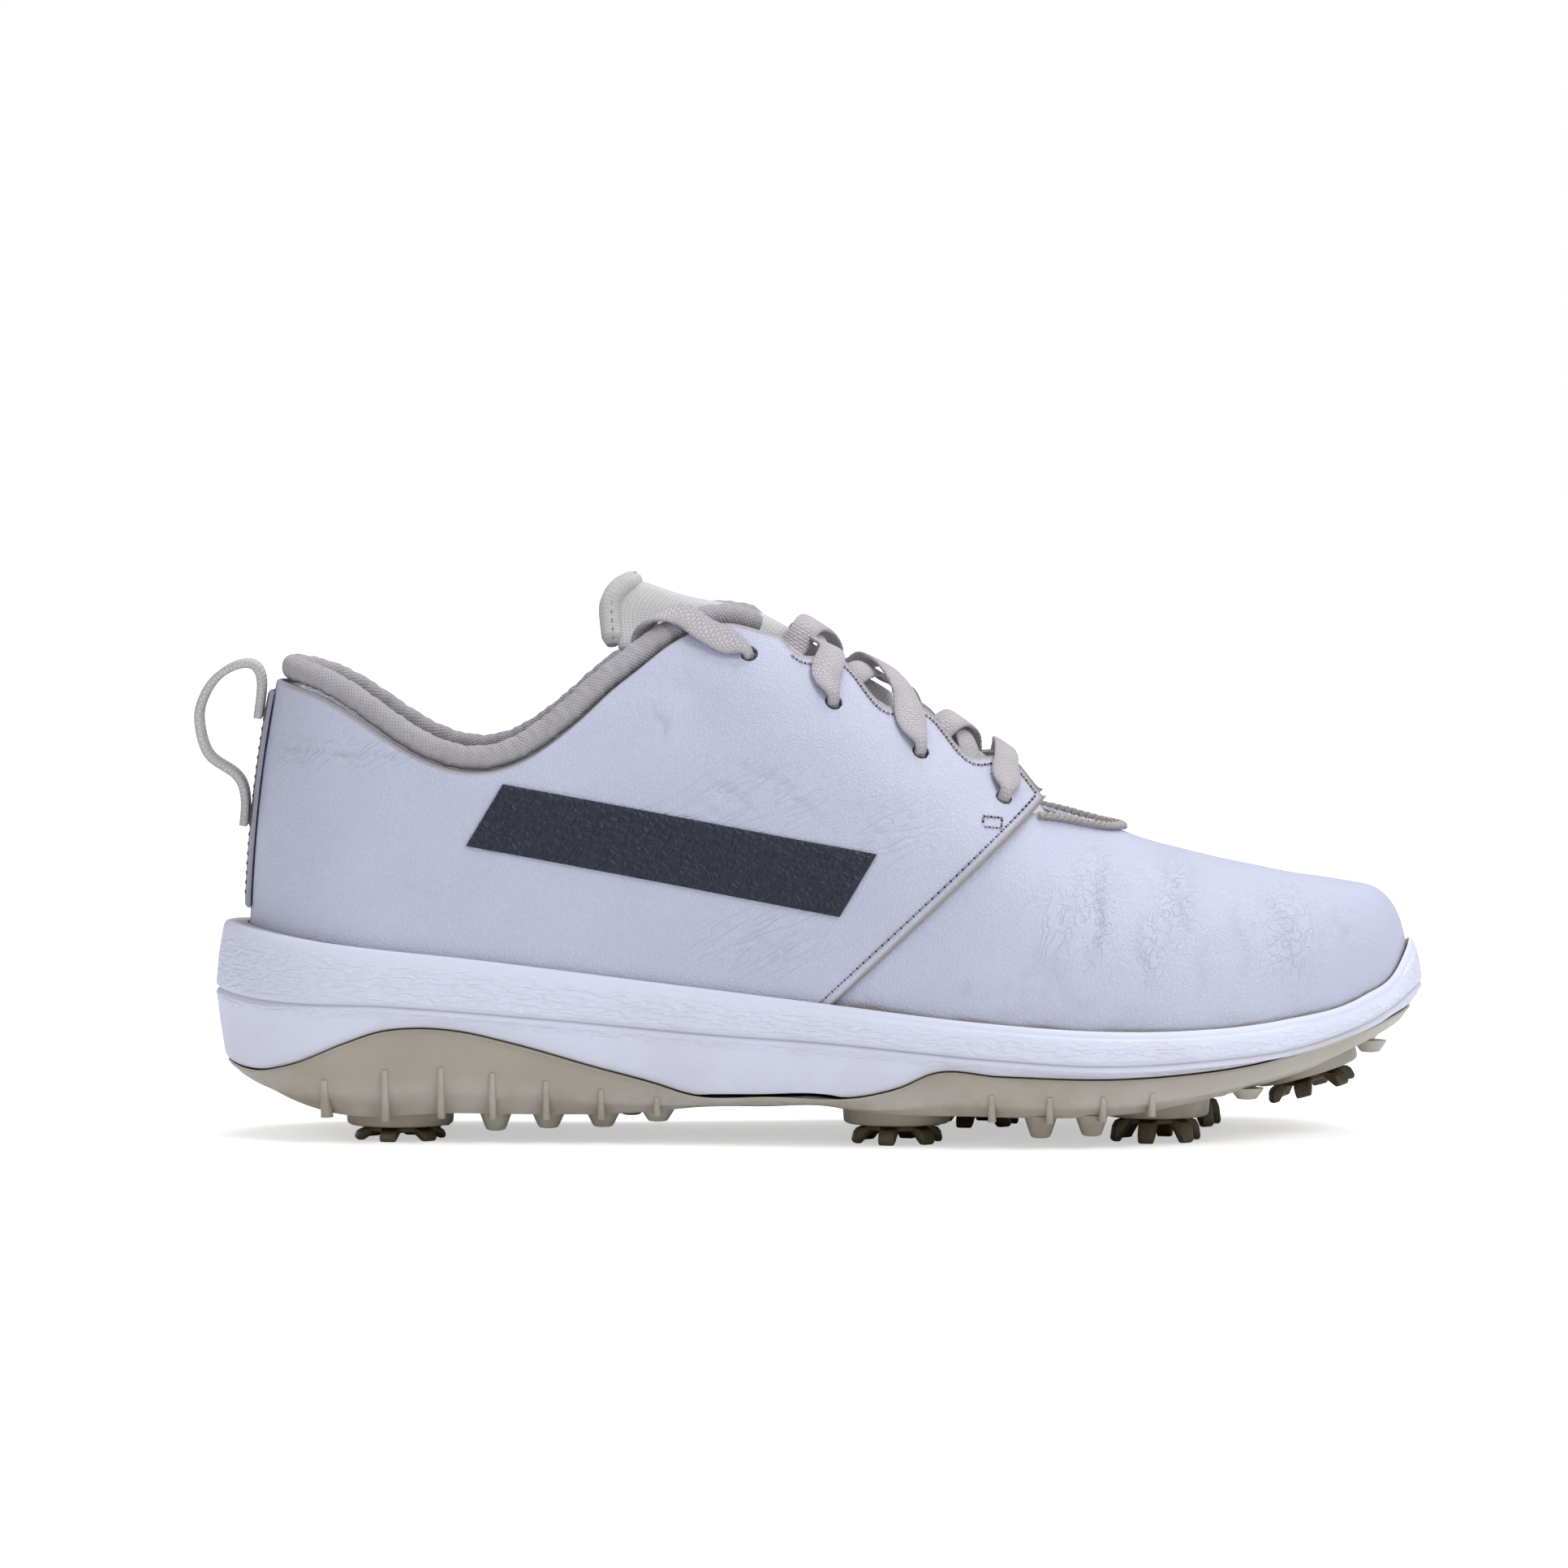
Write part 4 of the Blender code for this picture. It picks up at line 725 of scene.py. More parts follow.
def leather(name, colour, dirty, roughness=0.5, pebble=900.0, depth=0.5, clean=0.05,
            stain=0.35, lean=-0.47, grit=0.2):
    """Grained leather; stain is how strongly the dirt shows, and the piece's own tint_share
    value adds tan along rubbed edges and paints shade into creases and along the vamp's
    foot. Its crinkle value says where fine folds run, and lean is the angle they run at;
    grit is how deep the pebbles are."""
    made, tree, shader = blank_material(name)
    place = add(tree, "TexCoord").outputs["Object"]
    skin = place_group(tree, grain, {"Vector": place, "Pebble Scale": pebble})
    shade = add(tree, "MapRange", {"Value": skin.outputs["Mottle"], "From Min": 0.3,
                                   "From Max": 0.7})
    cloudy = mixed(tree, shade.outputs[0], [c * 0.94 for c in colour], colour)
    amount = dirt_amount(tree, place, clean, stain)
    tree.links.new(mixed(tree, amount, cloudy, dirty), shader.inputs["Base Color"])
    rough = add(tree, "MapRange", {"Value": skin.outputs["Mottle"], "To Min": roughness - 0.1,
                                   "To Max": roughness + 0.1})
    tree.links.new(rough.outputs[0], shader.inputs["Roughness"])
    lying = add(tree, "Mapping", {"Vector": place, "Rotation": (0, lean, 0),
                                  "Scale": (7.5, 1, 1)}, vector_type="TEXTURE")
    folds = add(tree, "TexNoise", {"Vector": lying.outputs[0], "Scale": 430.0, "Detail": 1.5,
                                   "Roughness": 0.5, "Distortion": 0.12})
    off_middle = add(tree, "Math", {0: folds.outputs["Fac"], 1: 0.5}, operation="SUBTRACT")
    ridge = add(tree, "Math", {0: off_middle.outputs[0]}, operation="ABSOLUTE")
    crack = add(tree, "MapRange", {"Value": ridge.outputs[0], "From Max": 0.06,
                                   "To Max": 0.85}, interpolation_type="SMOOTHSTEP")
    tired = add(tree, "Attribute", attribute_name="crinkle").outputs["Fac"]
    pressed = add(tree, "Math", {0: crack.outputs[0], 1: tired}, operation="MULTIPLY")
    relief = add(tree, "Math", {0: skin.outputs["Height"], 1: grit, 2: pressed.outputs[0]},
                 operation="MULTIPLY_ADD")
    raise_surface(tree, shader, relief.outputs[0], depth, 0.0009)
    return made


TAN = (0.27, 0.225, 0.17)
WHITE = (0.60, 0.62, 0.80)
white_leather = leather("white_leather", WHITE, TAN)
vamp_leather = leather("vamp_leather", WHITE, TAN, lean=-1.15)
stay_leather = leather("stay_leather", (0.68, 0.69, 0.78), TAN, clean=0.09, stain=0.2)
back_leather = leather("back_leather", (0.40, 0.41, 0.5), (0.3, 0.2, 0.1), roughness=0.65)
navy_leather = leather("navy_leather", (0.016, 0.018, 0.038), (0.05, 0.05, 0.06),
                       roughness=0.46, pebble=560.0, depth=0.8, stain=0.1, grit=0.4)


def foam():
    """Moulded foam: a fine wavy embossing where the piece's own emboss value asks for it."""
    made, tree, shader = blank_material("moulded_foam")
    place = add(tree, "TexCoord").outputs["Object"]
    stretched = add(tree, "Mapping", {"Vector": place, "Scale": (1, 1, 4.2)})
    waves = add(tree, "TexNoise", {"Vector": stretched.outputs[0], "Scale": 300.0, "Detail": 1.0,
                                   "Distortion": 0.25})
    level = add(tree, "MapRange", {"Value": waves.outputs["Fac"], "From Min": 0.35,
                                   "From Max": 0.65}, interpolation_type="SMOOTHSTEP")
    where = add(tree, "Attribute", attribute_name="emboss").outputs["Fac"]
    height = add(tree, "Math", {0: level.outputs[0], 1: where}, operation="MULTIPLY")
    amount = dirt_amount(tree, place, 0.045, 0.12, 45.0)
    tree.links.new(mixed(tree, amount, (0.76, 0.785, 0.96), (0.33, 0.25, 0.14)),
                   shader.inputs["Base Color"])
    shader.inputs["Roughness"].default_value = 0.5
    raise_surface(tree, shader, height.outputs[0], 0.55, 0.0006)
    return made


def clear_rubber():
    """Milky rubber with cloudy patches, browner where its soil value is high."""
    made, tree, shader = blank_material("clear_rubber")
    place = add(tree, "TexCoord").outputs["Object"]
    cloud = add(tree, "TexNoise", {"Vector": place, "Scale": 55.0, "Detail": 5.0})
    milk = mixed(tree, cloud.outputs["Fac"], (0.43, 0.40, 0.355), (0.62, 0.60, 0.57))
    amount = dirt_amount(tree, place, 0.02, 0.45, 70.0)
    tree.links.new(mixed(tree, amount, milk, (0.22, 0.17, 0.08)), shader.inputs["Base Color"])
    fine = add(tree, "TexNoise", {"Vector": place, "Scale": 700.0, "Detail": 3.0})
    rough = add(tree, "MapRange", {"Value": fine.outputs["Fac"], "To Min": 0.28, "To Max": 0.5})
    tree.links.new(rough.outputs[0], shader.inputs["Roughness"])
    raise_surface(tree, shader, fine.outputs["Fac"], 0.15, 0.0003)
    return made


def moulded(name, colour, dirty, roughness, stain=0.4):
    """Hard plastic with a fine moulding texture and dried mud."""
    made, tree, shader = blank_material(name)
    place = add(tree, "TexCoord").outputs["Object"]
    tint_share = place_group(tree, dirt, {"Vector": place, "Clean Height": 0.03, "Patch Scale": 220.0})
    amount = add(tree, "Math", {0: tint_share.outputs[0], 1: stain}, operation="MULTIPLY")
    tree.links.new(mixed(tree, amount.outputs[0], colour, dirty), shader.inputs["Base Color"])
    fine = add(tree, "TexNoise", {"Vector": place, "Scale": 1500.0, "Detail": 2.0})
    rough = add(tree, "MapRange", {"Value": fine.outputs["Fac"], "To Min": roughness - 0.12,
                                   "To Max": roughness + 0.12})
    tree.links.new(rough.outputs[0], shader.inputs["Roughness"])
    raise_surface(tree, shader, fine.outputs["Fac"], 0.2, 0.0002)
    return made


foam_white, rubber_clear = foam(), clear_rubber()
cleat_plastic = moulded("cleat_plastic", (0.045, 0.037, 0.022), (0.16, 0.12, 0.06), 0.4, 0.6)
socket_plastic = moulded("socket_plastic", (0.3, 0.3, 0.31), (0.16, 0.12, 0.06), 0.5)
stiff_board = moulded("stiff_board", (0.6, 0.55, 0.42), (0.3, 0.22, 0.12), 0.75)

# %% [markdown]
# ## Cloth
# The roll round the ankle, the lace, the pull loop and the linings are all woven or
# knitted. Their threads follow the piece, not the room, so the weave group reads the
# piece's own UV map: u goes once round or across it and v counts millimetres along it.

# %% Woven and knitted cloth
CLOTH_DIRT = (0.36, 0.3, 0.22)


def cloth(name, colour, across, along, slant=0.0, thread=0.0003, stain=0.3):
    """Cloth whose threads number `across` over the UV's u and `along` per millimetre."""
    made, tree, shader = blank_material(name)
    coordinates = add(tree, "TexCoord")
    threads = place_group(tree, weave, {"Vector": coordinates.outputs["UV"], "Across": across,
                                        "Along": along, "Slant": slant})
    tint_share = place_group(tree, dirt, {"Vector": coordinates.outputs["Object"],
                                    "Clean Height": 0.16, "Patch Scale": 90.0})
    # Painted shade: the colour falls to 0.62 of itself where the weave is low, between threads.
    deep = add(tree, "MapRange", {"Value": threads.outputs["Height"], "To Min": 0.5,
                                  "From Max": 0.6})
    weave_with_painted_shade = mixed(tree, deep.outputs[0], [c * 0.62 for c in colour], colour)
    amount = add(tree, "Math", {0: tint_share.outputs[0], 1: stain}, operation="MULTIPLY")
    tree.links.new(mixed(tree, amount.outputs[0], weave_with_painted_shade, CLOTH_DIRT),
                   shader.inputs["Base Color"])
    fuzz = add(tree, "TexNoise", {"Vector": coordinates.outputs["Object"], "Scale": 2600.0})
    height = add(tree, "Math", {0: fuzz.outputs["Fac"], 1: 0.4, 2: threads.outputs["Height"]},
                 operation="MULTIPLY_ADD")
    raise_surface(tree, shader, height.outputs[0], 0.6, thread)
    shader.inputs["Roughness"].default_value = 0.88
    shader.inputs["Sheen Weight"].default_value = 0.15
    return made


roll_cloth = cloth("roll_cloth", (0.54, 0.52, 0.57), 26.0, 1.15, slant=0.5, thread=0.0006)
lace_cloth = cloth("lace_cloth", (0.60, 0.575, 0.62), 18.0, 1.1, thread=0.0006)
loop_cloth = cloth("loop_cloth", (0.66, 0.64, 0.65), 24.0, 1.0, thread=0.0005)
tongue_cloth = cloth("tongue_cloth", (0.70, 0.70, 0.71), 70.0, 1.0, thread=0.0002)
lining_cloth = cloth("lining_cloth", (0.70, 0.71, 0.79), 220.0, 1.2, thread=0.0002)
thread_white = cloth("thread_white", (0.40, 0.37, 0.41), 3.0, 2.0, thread=0.0001, stain=0.6)
cord_cloth = cloth("cord_cloth", (0.50, 0.47, 0.46), 2.0, 1.2, slant=2.0)
seam_thread = cloth("seam_thread", (0.32, 0.2, 0.09), 3.0, 2.0, thread=0.0001, stain=0.6)
bed_cloth = cloth("bed_cloth", (0.3, 0.32, 0.36), 180.0, 1.3, thread=0.0002)
inner_cloth = leather("inner_cloth", (0.56, 0.57, 0.6), CLOTH_DIRT, roughness=0.85,
                      pebble=1500.0, depth=0.3)
# Near-black finish for the dashes that paint the shade in needle holes.
needle_hole_shade = moulded("needle_hole_shade", (0.03, 0.026, 0.025), (0.08, 0.06, 0.04), 0.9)

# %% [markdown]
# ## The lace
# One flat woven lace runs from inside the shoe over the collar, through the eyelets in
# crossings and one straight bar, and back inside on the other side. It could be a curve
# with a bevel, but a flat lace turns over at each hole, so here each stop on its way has
# a place, the way its flat face looks, and its width: 7 mm flat, 3.2 mm pinched in a hole.

# %% Stops along the lace
LACE_WIDTH, LACE_THICK = 7.0, 1.3
PINCHED, FLAT = (3.2, 1.6), (LACE_WIDTH, LACE_THICK)
OVER, UNDER = 3.0, -3.0
EYELETS = [(133.3, 119.6), (153.9, 107.7), (175.3, 95.6), (195.6, 84.1)]
TUCK = [(80, 52), (88, 62), (95, 76), (101, 91), (105.5, 104), (108.5, 113)]
TUCK_LIFT = -6.9  # inside the lining
ROLL_CROSSING = [(109, 165), (110.3, 125), (111.8, 90), (113.8, 52), (116.3, 12)]
ROLL_LIFT = -1.5  # where the padded roll's middle lies
ROLL_STAND_OFF = 1.55  # from the roll's surface to the lace's middle
LANDING = (122.5, 124.2)  # where the lace comes down on the leather


def spot(side, station, phi, lift):
    """(point, outward normal) over the base surface."""
    r = ring_of(side, station)
    place = upper(r, phi, lift)
    normal = upper(r, phi, lift + 1) - place
    return place, normal


def beside(k, side, step, rise, lift):
    """A place next to eyelet k: step stations along and rise degrees up the wall."""
    station, height = EYELETS[k]
    phi = float(phi_at(station, height)) + math.radians(rise)
    return spot(side, station + step, phi, lift)[0]


class LaceRoute:
    """The lace's stops in order: place, way its flat face looks, width and thickness.
    The face turns over at each eyelet, so its sign is carried along."""

    def __init__(self):
        self.places, self.faces, self.sizes, self.sign = [], [], [], 1

    def stop(self, place, face, size=FLAT):
        """Adds one stop."""
        self.places.append(place)
        self.faces.append(self.sign * face / np.linalg.norm(face))
        self.sizes.append(size)

    def on(self, side, station, degrees, lift):
        """Adds a stop where the lace lies flat over the last."""
        self.stop(*spot(side, station, math.radians(degrees), lift))

    def through(self, side, k, outside, inside, inward):
        """Through eyelet k; outside and inside are where the lace lies beside the hole."""
        station, height = EYELETS[k]
        middle, normal = spot(side, station, float(phi_at(station, height)), 0)
        ways = []
        for place in (outside, inside):
            way = place - middle
            way = way - normal * way.dot(normal)
            ways.append(way / np.linalg.norm(way))
        way_out, way_in = ways
        if not inward:
            self.sign = -self.sign
        steps = [
            (outside, normal, FLAT),
            (middle + normal * 3.1 + way_out * 1.1, normal - way_out * 0.8, PINCHED),
            (middle + normal * 0.9, -way_out, PINCHED),
            (middle - normal * 0.9, -way_in, PINCHED),
            (middle - normal * 3.0 + way_in * 1.0, -normal - way_in * 0.8, PINCHED),
            (inside, -normal, FLAT),
        ]
        for step in (steps if inward else steps[::-1]):
            self.stop(*step)
        if inward:
            self.sign = -self.sign

    def cross(self, start, end, centre, heights):
        """A strand over the tongue; start and end are (side, station)."""
        for (side, station), degrees, lift in zip(
                (start, start, (start[0], centre), end, end), (73, 81, 90, 81, 73), heights):
            share = (degrees - 73) / 17
            self.on(side, station + (centre - station) * share, degrees, lift)


def tuck(route, side, leaving):
    """From inside the shoe over the padded roll towards the top eyelet, or back."""
    stops = []
    for station, height in TUCK:
        place, normal = spot(side, station, float(phi_at(station, height)), TUCK_LIFT)
        stops.append((place, -normal))
    for at, degrees in ROLL_CROSSING:
        (before, _), (middle, normal), (after, _) = (
            spot(side, near, float(phi_at(near, collar_height(near))), ROLL_LIFT)
            for near in (at - 1, at, at + 1))
        tangent = (after - before) / np.linalg.norm(after - before)
        normal = normal - tangent * normal.dot(tangent)
        normal /= np.linalg.norm(normal)
        up = np.cross(tangent, normal)
        up *= np.sign(up[2])
        turn = math.radians(degrees)
        way = normal * math.cos(turn) + up * math.sin(turn)
        stops.append((middle + way * (ROLL_RADIUS + ROLL_STAND_OFF), way))
    place, normal = spot(side, LANDING[0], float(phi_at(*LANDING)), OVER + 0.7)
    stops.append((place, normal))
    for place, face in (stops[::-1] if leaving else stops):
        route.stop(place, face)


def lace_route():
    """Straight bar at the lowest eyelets, crossings above, both ends tucked in at the collar."""
    route = LaceRoute()
    x = [station for station, _ in EYELETS]
    low_high = [(x[0] + 12.0, x[1] - 1.4), (x[1] + 4.6, x[2] - 4.8), (x[2] + 5.2, x[3] - 5.1)]
    rises = (UNDER, 1.7, 2.4, 2.9, OVER)
    sinks = (OVER, 0.1, 0.0, -0.6, UNDER)
    stays = (UNDER, 0.9, 1.6, 0.9, UNDER)
    stays_low = (UNDER, -1.2, -0.4, -1.2, UNDER)

    def hole(side, k, inward):
        """Through eyelet k, from a resting place beside it to one behind it, or back."""
        outside = beside(k, side, *((-4.4, 1.0), (-2.2, 4.5), (-2.2, 4.5), (0, 5.0))[k], OVER)
        inside = beside(k, side, *((2.8, 4.0), (2.2, 4.5), (2.2, 4.5), (-2.2, 4.5))[k], UNDER)
        route.through(side, k, outside, inside, inward)

    tuck(route, OUTER, leaving=False)
    side = OUTER
    for k in (0, 1, 2):
        hole(side, k, inward=True)
        near, far = low_high[k]
        route.cross((side, near), (-side, far), (near + far) / 2, stays if k == 2 else rises)
        side = -side
    hole(side, 3, inward=False)
    for degrees, lift in ((72, OVER), (81, OVER), (90, 2.2)):
        route.on(side, x[3], degrees, lift)
    for degrees in (81, 72):
        route.on(-side, x[3], degrees, OVER)
    side = -side
    hole(side, 3, inward=True)
    for k in (2, 1, 0):
        near, far = low_high[k]
        route.cross((side, far), (-side, near), (near + far) / 2, stays_low if k == 2 else sinks)
        side = -side
        hole(side, k, inward=False)
    tuck(route, side, leaving=True)
    return route


# %% Lace ribbon
def build_lace():
    """Ribbon = a flattened outline, as wide as each stop says, carried along the route."""
    route = lace_route()
    parts = [np.array(part, float) for part in (route.places, route.faces, route.sizes)]
    run = run_along(parts[0])
    at = np.linspace(0, run[-1], 1500)
    path, face, size = (
        np.stack([local_curve(np.column_stack([run, part[:, k]]))(at)
                  for k in range(part.shape[1])], axis=-1) for part in parts)
    ribs = 1 + 0.02 * np.sin(2 * math.pi * at / 1.6)
    section = outline(1, 1, 20, 3.0)[None] * size[:, None] * ribs[:, None, None]
    points, faces, uv = roll(path, face, section)
    piece = make_piece("flat_lace", points, faces, lace_cloth, uv=uv)
    finish_piece(piece, "shoe", "lace_fabric", "lace")
    return piece


build_lace()

# %% [markdown]
# ## Leather panels
# A quarter is one cut of leather from the heel to the diagonal seam, from the sole to the
# foot opening and the scalloped lacing edge. It could be modelled by pushing points about
# with a cloth brush. A formula is exact instead: its columns start on the footbed line and
# end on the cut edge, and wearing creases are added as shallow valleys in the lift.

# %% Panel edges, creases and holes
EYELET_RADIUS = 2.3
SEAM_TOP, SEAM_FOOT = (206.5, 84.0), (148.5, 30.2)
QUARTER_LIFT, QUARTER_THICK = 1.8, 1.2
VAMP_LIFT, VAMP_THICK = 0.0, 1.2

# Valleys that walking presses into the leather: start, end, depth and width, in mm.
VAMP_CREASES = [
    ((222.1, 71.1), (217.5, 43), 0.5, 1.2), ((216, 66), (207, 44), 0.25, 0.9),
    ((236, 70), (243, 52), 0.3, 1.4), ((253, 62), (256, 40), 0.25, 1.5),
    ((262, 62), (270, 40), 0.2, 2.0), ((279, 58), (281, 46), 0.18, 1.8),
    ((228, 55), (231, 38), 0.22, 1.4), ((205, 52), (200, 38), 0.25, 1.6),
    ((246, 52), (243, 36), 0.22, 1.6), ((212, 72), (196, 52), 0.16, 1.0),
]
QUARTER_CREASES = [
    ((122, 92), (136, 82), 0.28, 1.1), ((127, 95), (148, 87), 0.22, 0.9),
    ((118, 86), (131, 79), 0.2, 0.9), ((139, 92), (152, 79), 0.2, 1.0),
    ((98, 79), (126, 77), 0.2, 1.2), ((124, 56), (146, 47), 0.18, 1.0),
    ((130, 49), (148, 46), 0.14, 0.9), ((14, 97), (50, 95), 0.3, 0.9),
    ((14, 94), (30, 93.5), 0.2, 0.8), ((16, 100), (38, 98), 0.16, 0.9),
    ((160, 84), (171, 70), 0.14, 1.0), ((44, 66), (60, 60), 0.12, 1.0),
    ((110, 108), (114, 99), 0.3, 1.2), ((116, 118), (121, 101), 0.55, 6.0),
]
# Where the leather is finely crinkled: centre and half sizes along and up, in mm.
QUARTER_CRINKLES = [((136, 86), (20, 9)), ((34, 96), (24, 4)), ((136, 50), (17, 8)),
                    ((112, 80), (14, 5)), ((168, 76), (10, 10))]
VAMP_CRINKLES = [((218, 58), (6, 17)), ((209, 54), (5, 10)), ((239, 60), (5, 11)),
                 ((267, 51), (7, 13)), ((232, 48), (4, 9))]


def crinkled(x, z, patches):
    """Mask = the largest exp(-(distance from a patch's centre / its half sizes)^2)."""
    return np.maximum.reduce([
        np.exp(-((x - cx) / a)**2 - ((z - cz) / b)**2) for (cx, cz), (a, b) in patches])


def creased(x, z, creases):
    """Lift = -sum of 1.7 * depth * (exp(-(d / width)^2) - 0.35 * exp(-(d / (2.2 * width))^2)),
    where d is the distance to a line that wanders a little: a valley between low banks
    that fades at its ends."""
    total = np.zeros_like(x)
    for (ax, az), (bx, bz), depth, width in creases:
        along = ((x - ax) * (bx - ax) + (z - az) * (bz - az)) / ((bx - ax)**2 + (bz - az)**2)
        t = np.clip(along, 0, 1)
        wander = 0.8 * np.sin(9 * t + ax) * width**0.5
        away = np.hypot(x - ax - t * (bx - ax) - wander, z - az - t * (bz - az))
        valley = np.exp(-(away / width)**2) - 0.35 * np.exp(-(away / (2.2 * width))**2)
        total -= 1.7 * depth * valley * (0.15 + 0.85 * np.sin(math.pi * t))
    return total


def soft_waves(x, z, seed):
    """A slow unevenness of hand-lasted leather: a few crossing sines, under 0.2 mm."""
    return 0.09 * (np.sin(0.13 * x + 0.21 * z + seed) + np.sin(0.31 * x - 0.17 * z + 2 * seed)
                   + 0.6 * np.sin(0.07 * x - 0.43 * z + 3 * seed))


def eyelet_places(side):
    """(centre, outward way) of each eyelet on the last."""
    x, z = np.array(EYELETS).T
    r, phi = locate(side, x, z)
    centre = upper(r, phi, 0.0)
    return centre, upper(r, phi, 1.0) - centre


HOLE_CELLS, EASE_CELLS = 2, 5


def punch(outer, inner, side):
    """Opens round holes in a grid: the square of cells nearest to each eyelet is dropped,
    its border is pushed out onto a circle, and the points around it ease back."""
    ring, reach = HOLE_CELLS, EASE_CELLS
    keep = np.ones((outer.shape[0] - 1, outer.shape[1] - 1), bool)
    rows, columns = np.indices(outer.shape[:2])
    for centre, way in zip(*eyelet_places(side)):
        flat = outer - centre
        off = flat - (flat @ way)[..., None] * way
        i, j = np.unravel_index(np.linalg.norm(off, axis=-1).argmin(), off.shape[:2])
        if np.linalg.norm(off[i, j]) > 2 or min(i, j) < reach:
            continue
        keep[i - ring:i + ring, j - ring:j + ring] = False
        level = np.maximum(abs(rows - i), abs(columns - j))
        share = np.clip((reach + 1 - level) / (reach + 1 - ring), 0, 1)[..., None]
        for grid in (outer, inner):
            away = grid - centre
            deep = (away @ way)[..., None] * way
            spread = away - deep - off[i, j]
            length = np.maximum(np.linalg.norm(spread, axis=-1, keepdims=True), 1e-6)
            wanted = EYELET_RADIUS * (1 + (level[..., None] - ring) * 0.32)
            pulled = centre + deep + spread / length * wanted
            use = np.where((level >= ring)[..., None] & (level <= reach)[..., None], share, 0)
            grid += use * (pulled - grid)
    return keep


def lacing_line(height, x):
    """A straight line that falls beside the lacing, and has this height at station 151."""
    return height - 0.6 * (x - 151)


def lacing_height(x):
    """The scalloped lacing edge: the falling line with one wave for each eyelet."""
    return lacing_line(118.4, x) + 2.3 * np.cos(2 * math.pi * (x - 155.5) / 20.9)


def quarter_edge(count):
    """(station, height) along a quarter's cut edge: below the roll, then the scallops."""
    x = np.linspace(COLLAR[0][0], 136, 300)
    slope = (collar_height(x + 1) - collar_height(x - 1)) / 2
    length = np.sqrt(1 + slope**2)
    lacing = np.linspace(141, 205.5, 200)
    edge = np.concatenate([
        [(HEEL_END, collar_height(x[0]) - ROLL_CLEARANCE)],
        np.column_stack([x + ROLL_CLEARANCE * slope / length,
                         collar_height(x) - ROLL_CLEARANCE / length]),
        np.column_stack([lacing, lacing_height(lacing)]), [SEAM_TOP],
    ])
    fine = resample(edge, 0.05)
    return fine[np.linspace(0, len(fine) - 1, count).astype(int)].T


def rim_steps(shape, open_end=False):
    """How many cells each point of a grid is from its border; an open end's last column
    doesn't count as border."""
    rows, columns = np.indices(shape)
    steps = [rows, columns, shape[0] - 1 - rows, shape[1] - 1 - columns]
    return np.minimum.reduce(steps[:3] if open_end else steps)


def wall_grid(side, top_x, top_z, foot_x, foot_z, v, straight):
    """(r, phi) between a foot line and a top line. Where straight is 1, columns are
    straight in side view; where it is 0 they follow the wall."""
    r0, phi0 = locate(side, foot_x, foot_z)
    r1, phi1 = locate(side, top_x, top_z)
    r_wall, phi_wall = r0 + (r1 - r0) * v, phi0 + (phi1 - phi0) * v
    r_view, phi_view = locate(side, foot_x + (top_x - foot_x) * v, foot_z + (top_z - foot_z) * v)
    return r_wall + (r_view - r_wall) * straight, phi_wall + (phi_view - phi_wall) * straight


# %% Quarters
def rounded_rim(count_before):
    """(v values, how far the face drops at each): rows crowd towards the cut edge."""
    v = np.concatenate([np.linspace(0, 0.988, count_before), [0.993, 0.997, 1.0]])
    drop = np.zeros(len(v))
    drop[-3:] = 0.02, 0.14, 0.45
    return v[:, None], drop[:, None]


def build_quarter(side):
    """Grid (r, phi) of the panel, lifted by QUARTER_LIFT + waves + creases - rim drop."""
    top_x, top_z = quarter_edge(330)
    foot_x = HEEL_END + (SEAM_FOOT[0] - HEEL_END) * (top_x - HEEL_END) / (SEAM_TOP[0] - HEEL_END)
    foot_x = np.maximum.accumulate(foot_x)
    v, drop = rounded_rim(104)
    straight = smoothstep(0.4, 0.9, (top_x - HEEL_END) / (SEAM_TOP[0] - HEEL_END))
    r, phi = wall_grid(side, top_x, top_z, foot_x, bed_height(foot_x), v, straight)
    plain = upper(r, phi, QUARTER_LIFT)
    x, z = plain[..., 0], plain[..., 2]
    lift = creased(x, z, QUARTER_CREASES) + soft_waves(x, z, 1.3 * side)
    lift *= smoothstep(0, 6, x - HEEL_END) * (1 - smoothstep(0.9, 1.0, v))
    seam = np.zeros(len(top_x))
    seam[-3:] = 0.02, 0.15, 0.5
    outer = upper(r, phi, QUARTER_LIFT + lift - np.maximum(drop, seam))
    inner = upper(r, phi, QUARTER_LIFT - QUARTER_THICK)
    for grid in (outer, inner):
        grid[..., 1] = side * np.maximum(side * grid[..., 1], 0.4)
    wear_and_painted_shade = 0.75 * smoothstep(0.975, 0.998, v) * smoothstep(2, 12, x - HEEL_END)
    columns = np.arange(len(top_x))
    wear_and_painted_shade = np.maximum(wear_and_painted_shade, np.select([columns >= len(top_x) - 2, columns == len(top_x) - 3],
                                      [0.8, 0.4], 0.0))
    # Painted shade: the crease valleys turn towards tan, the deeper the crease the more.
    wear_and_painted_shade = np.maximum(wear_and_painted_shade, 0.3 * np.clip(-creased(x, z, QUARTER_CREASES[:-1]) / 0.5, 0, 1))
    keep = punch(outer, inner, side)
    name = SIDE_NAMES[side]
    values = np.concatenate([wear_and_painted_shade.ravel(), np.full(wear_and_painted_shade.size, 0.5)])
    lines = np.tile(crinkled(x, z, QUARTER_CRINKLES).ravel(), 2)
    points, faces, values, lines = tidy(*shell(outer, inner, keep), values, lines)
    piece = make_piece("leather_quarter_" + name, points, faces, white_leather,
                       values={"tint_share": values, "crinkle": lines})
    return finish_piece(piece, "shoe", "upper_leather", "quarter_" + name)


for side in (OUTER, INNER):
    build_quarter(side)

# %% Vamp
VAMP_REAR = local_curve([(0, 143.5), (27, 169.5), (50, 192), (61, 203), (68, 210), (78, 219.5),
                         (90, 224)])


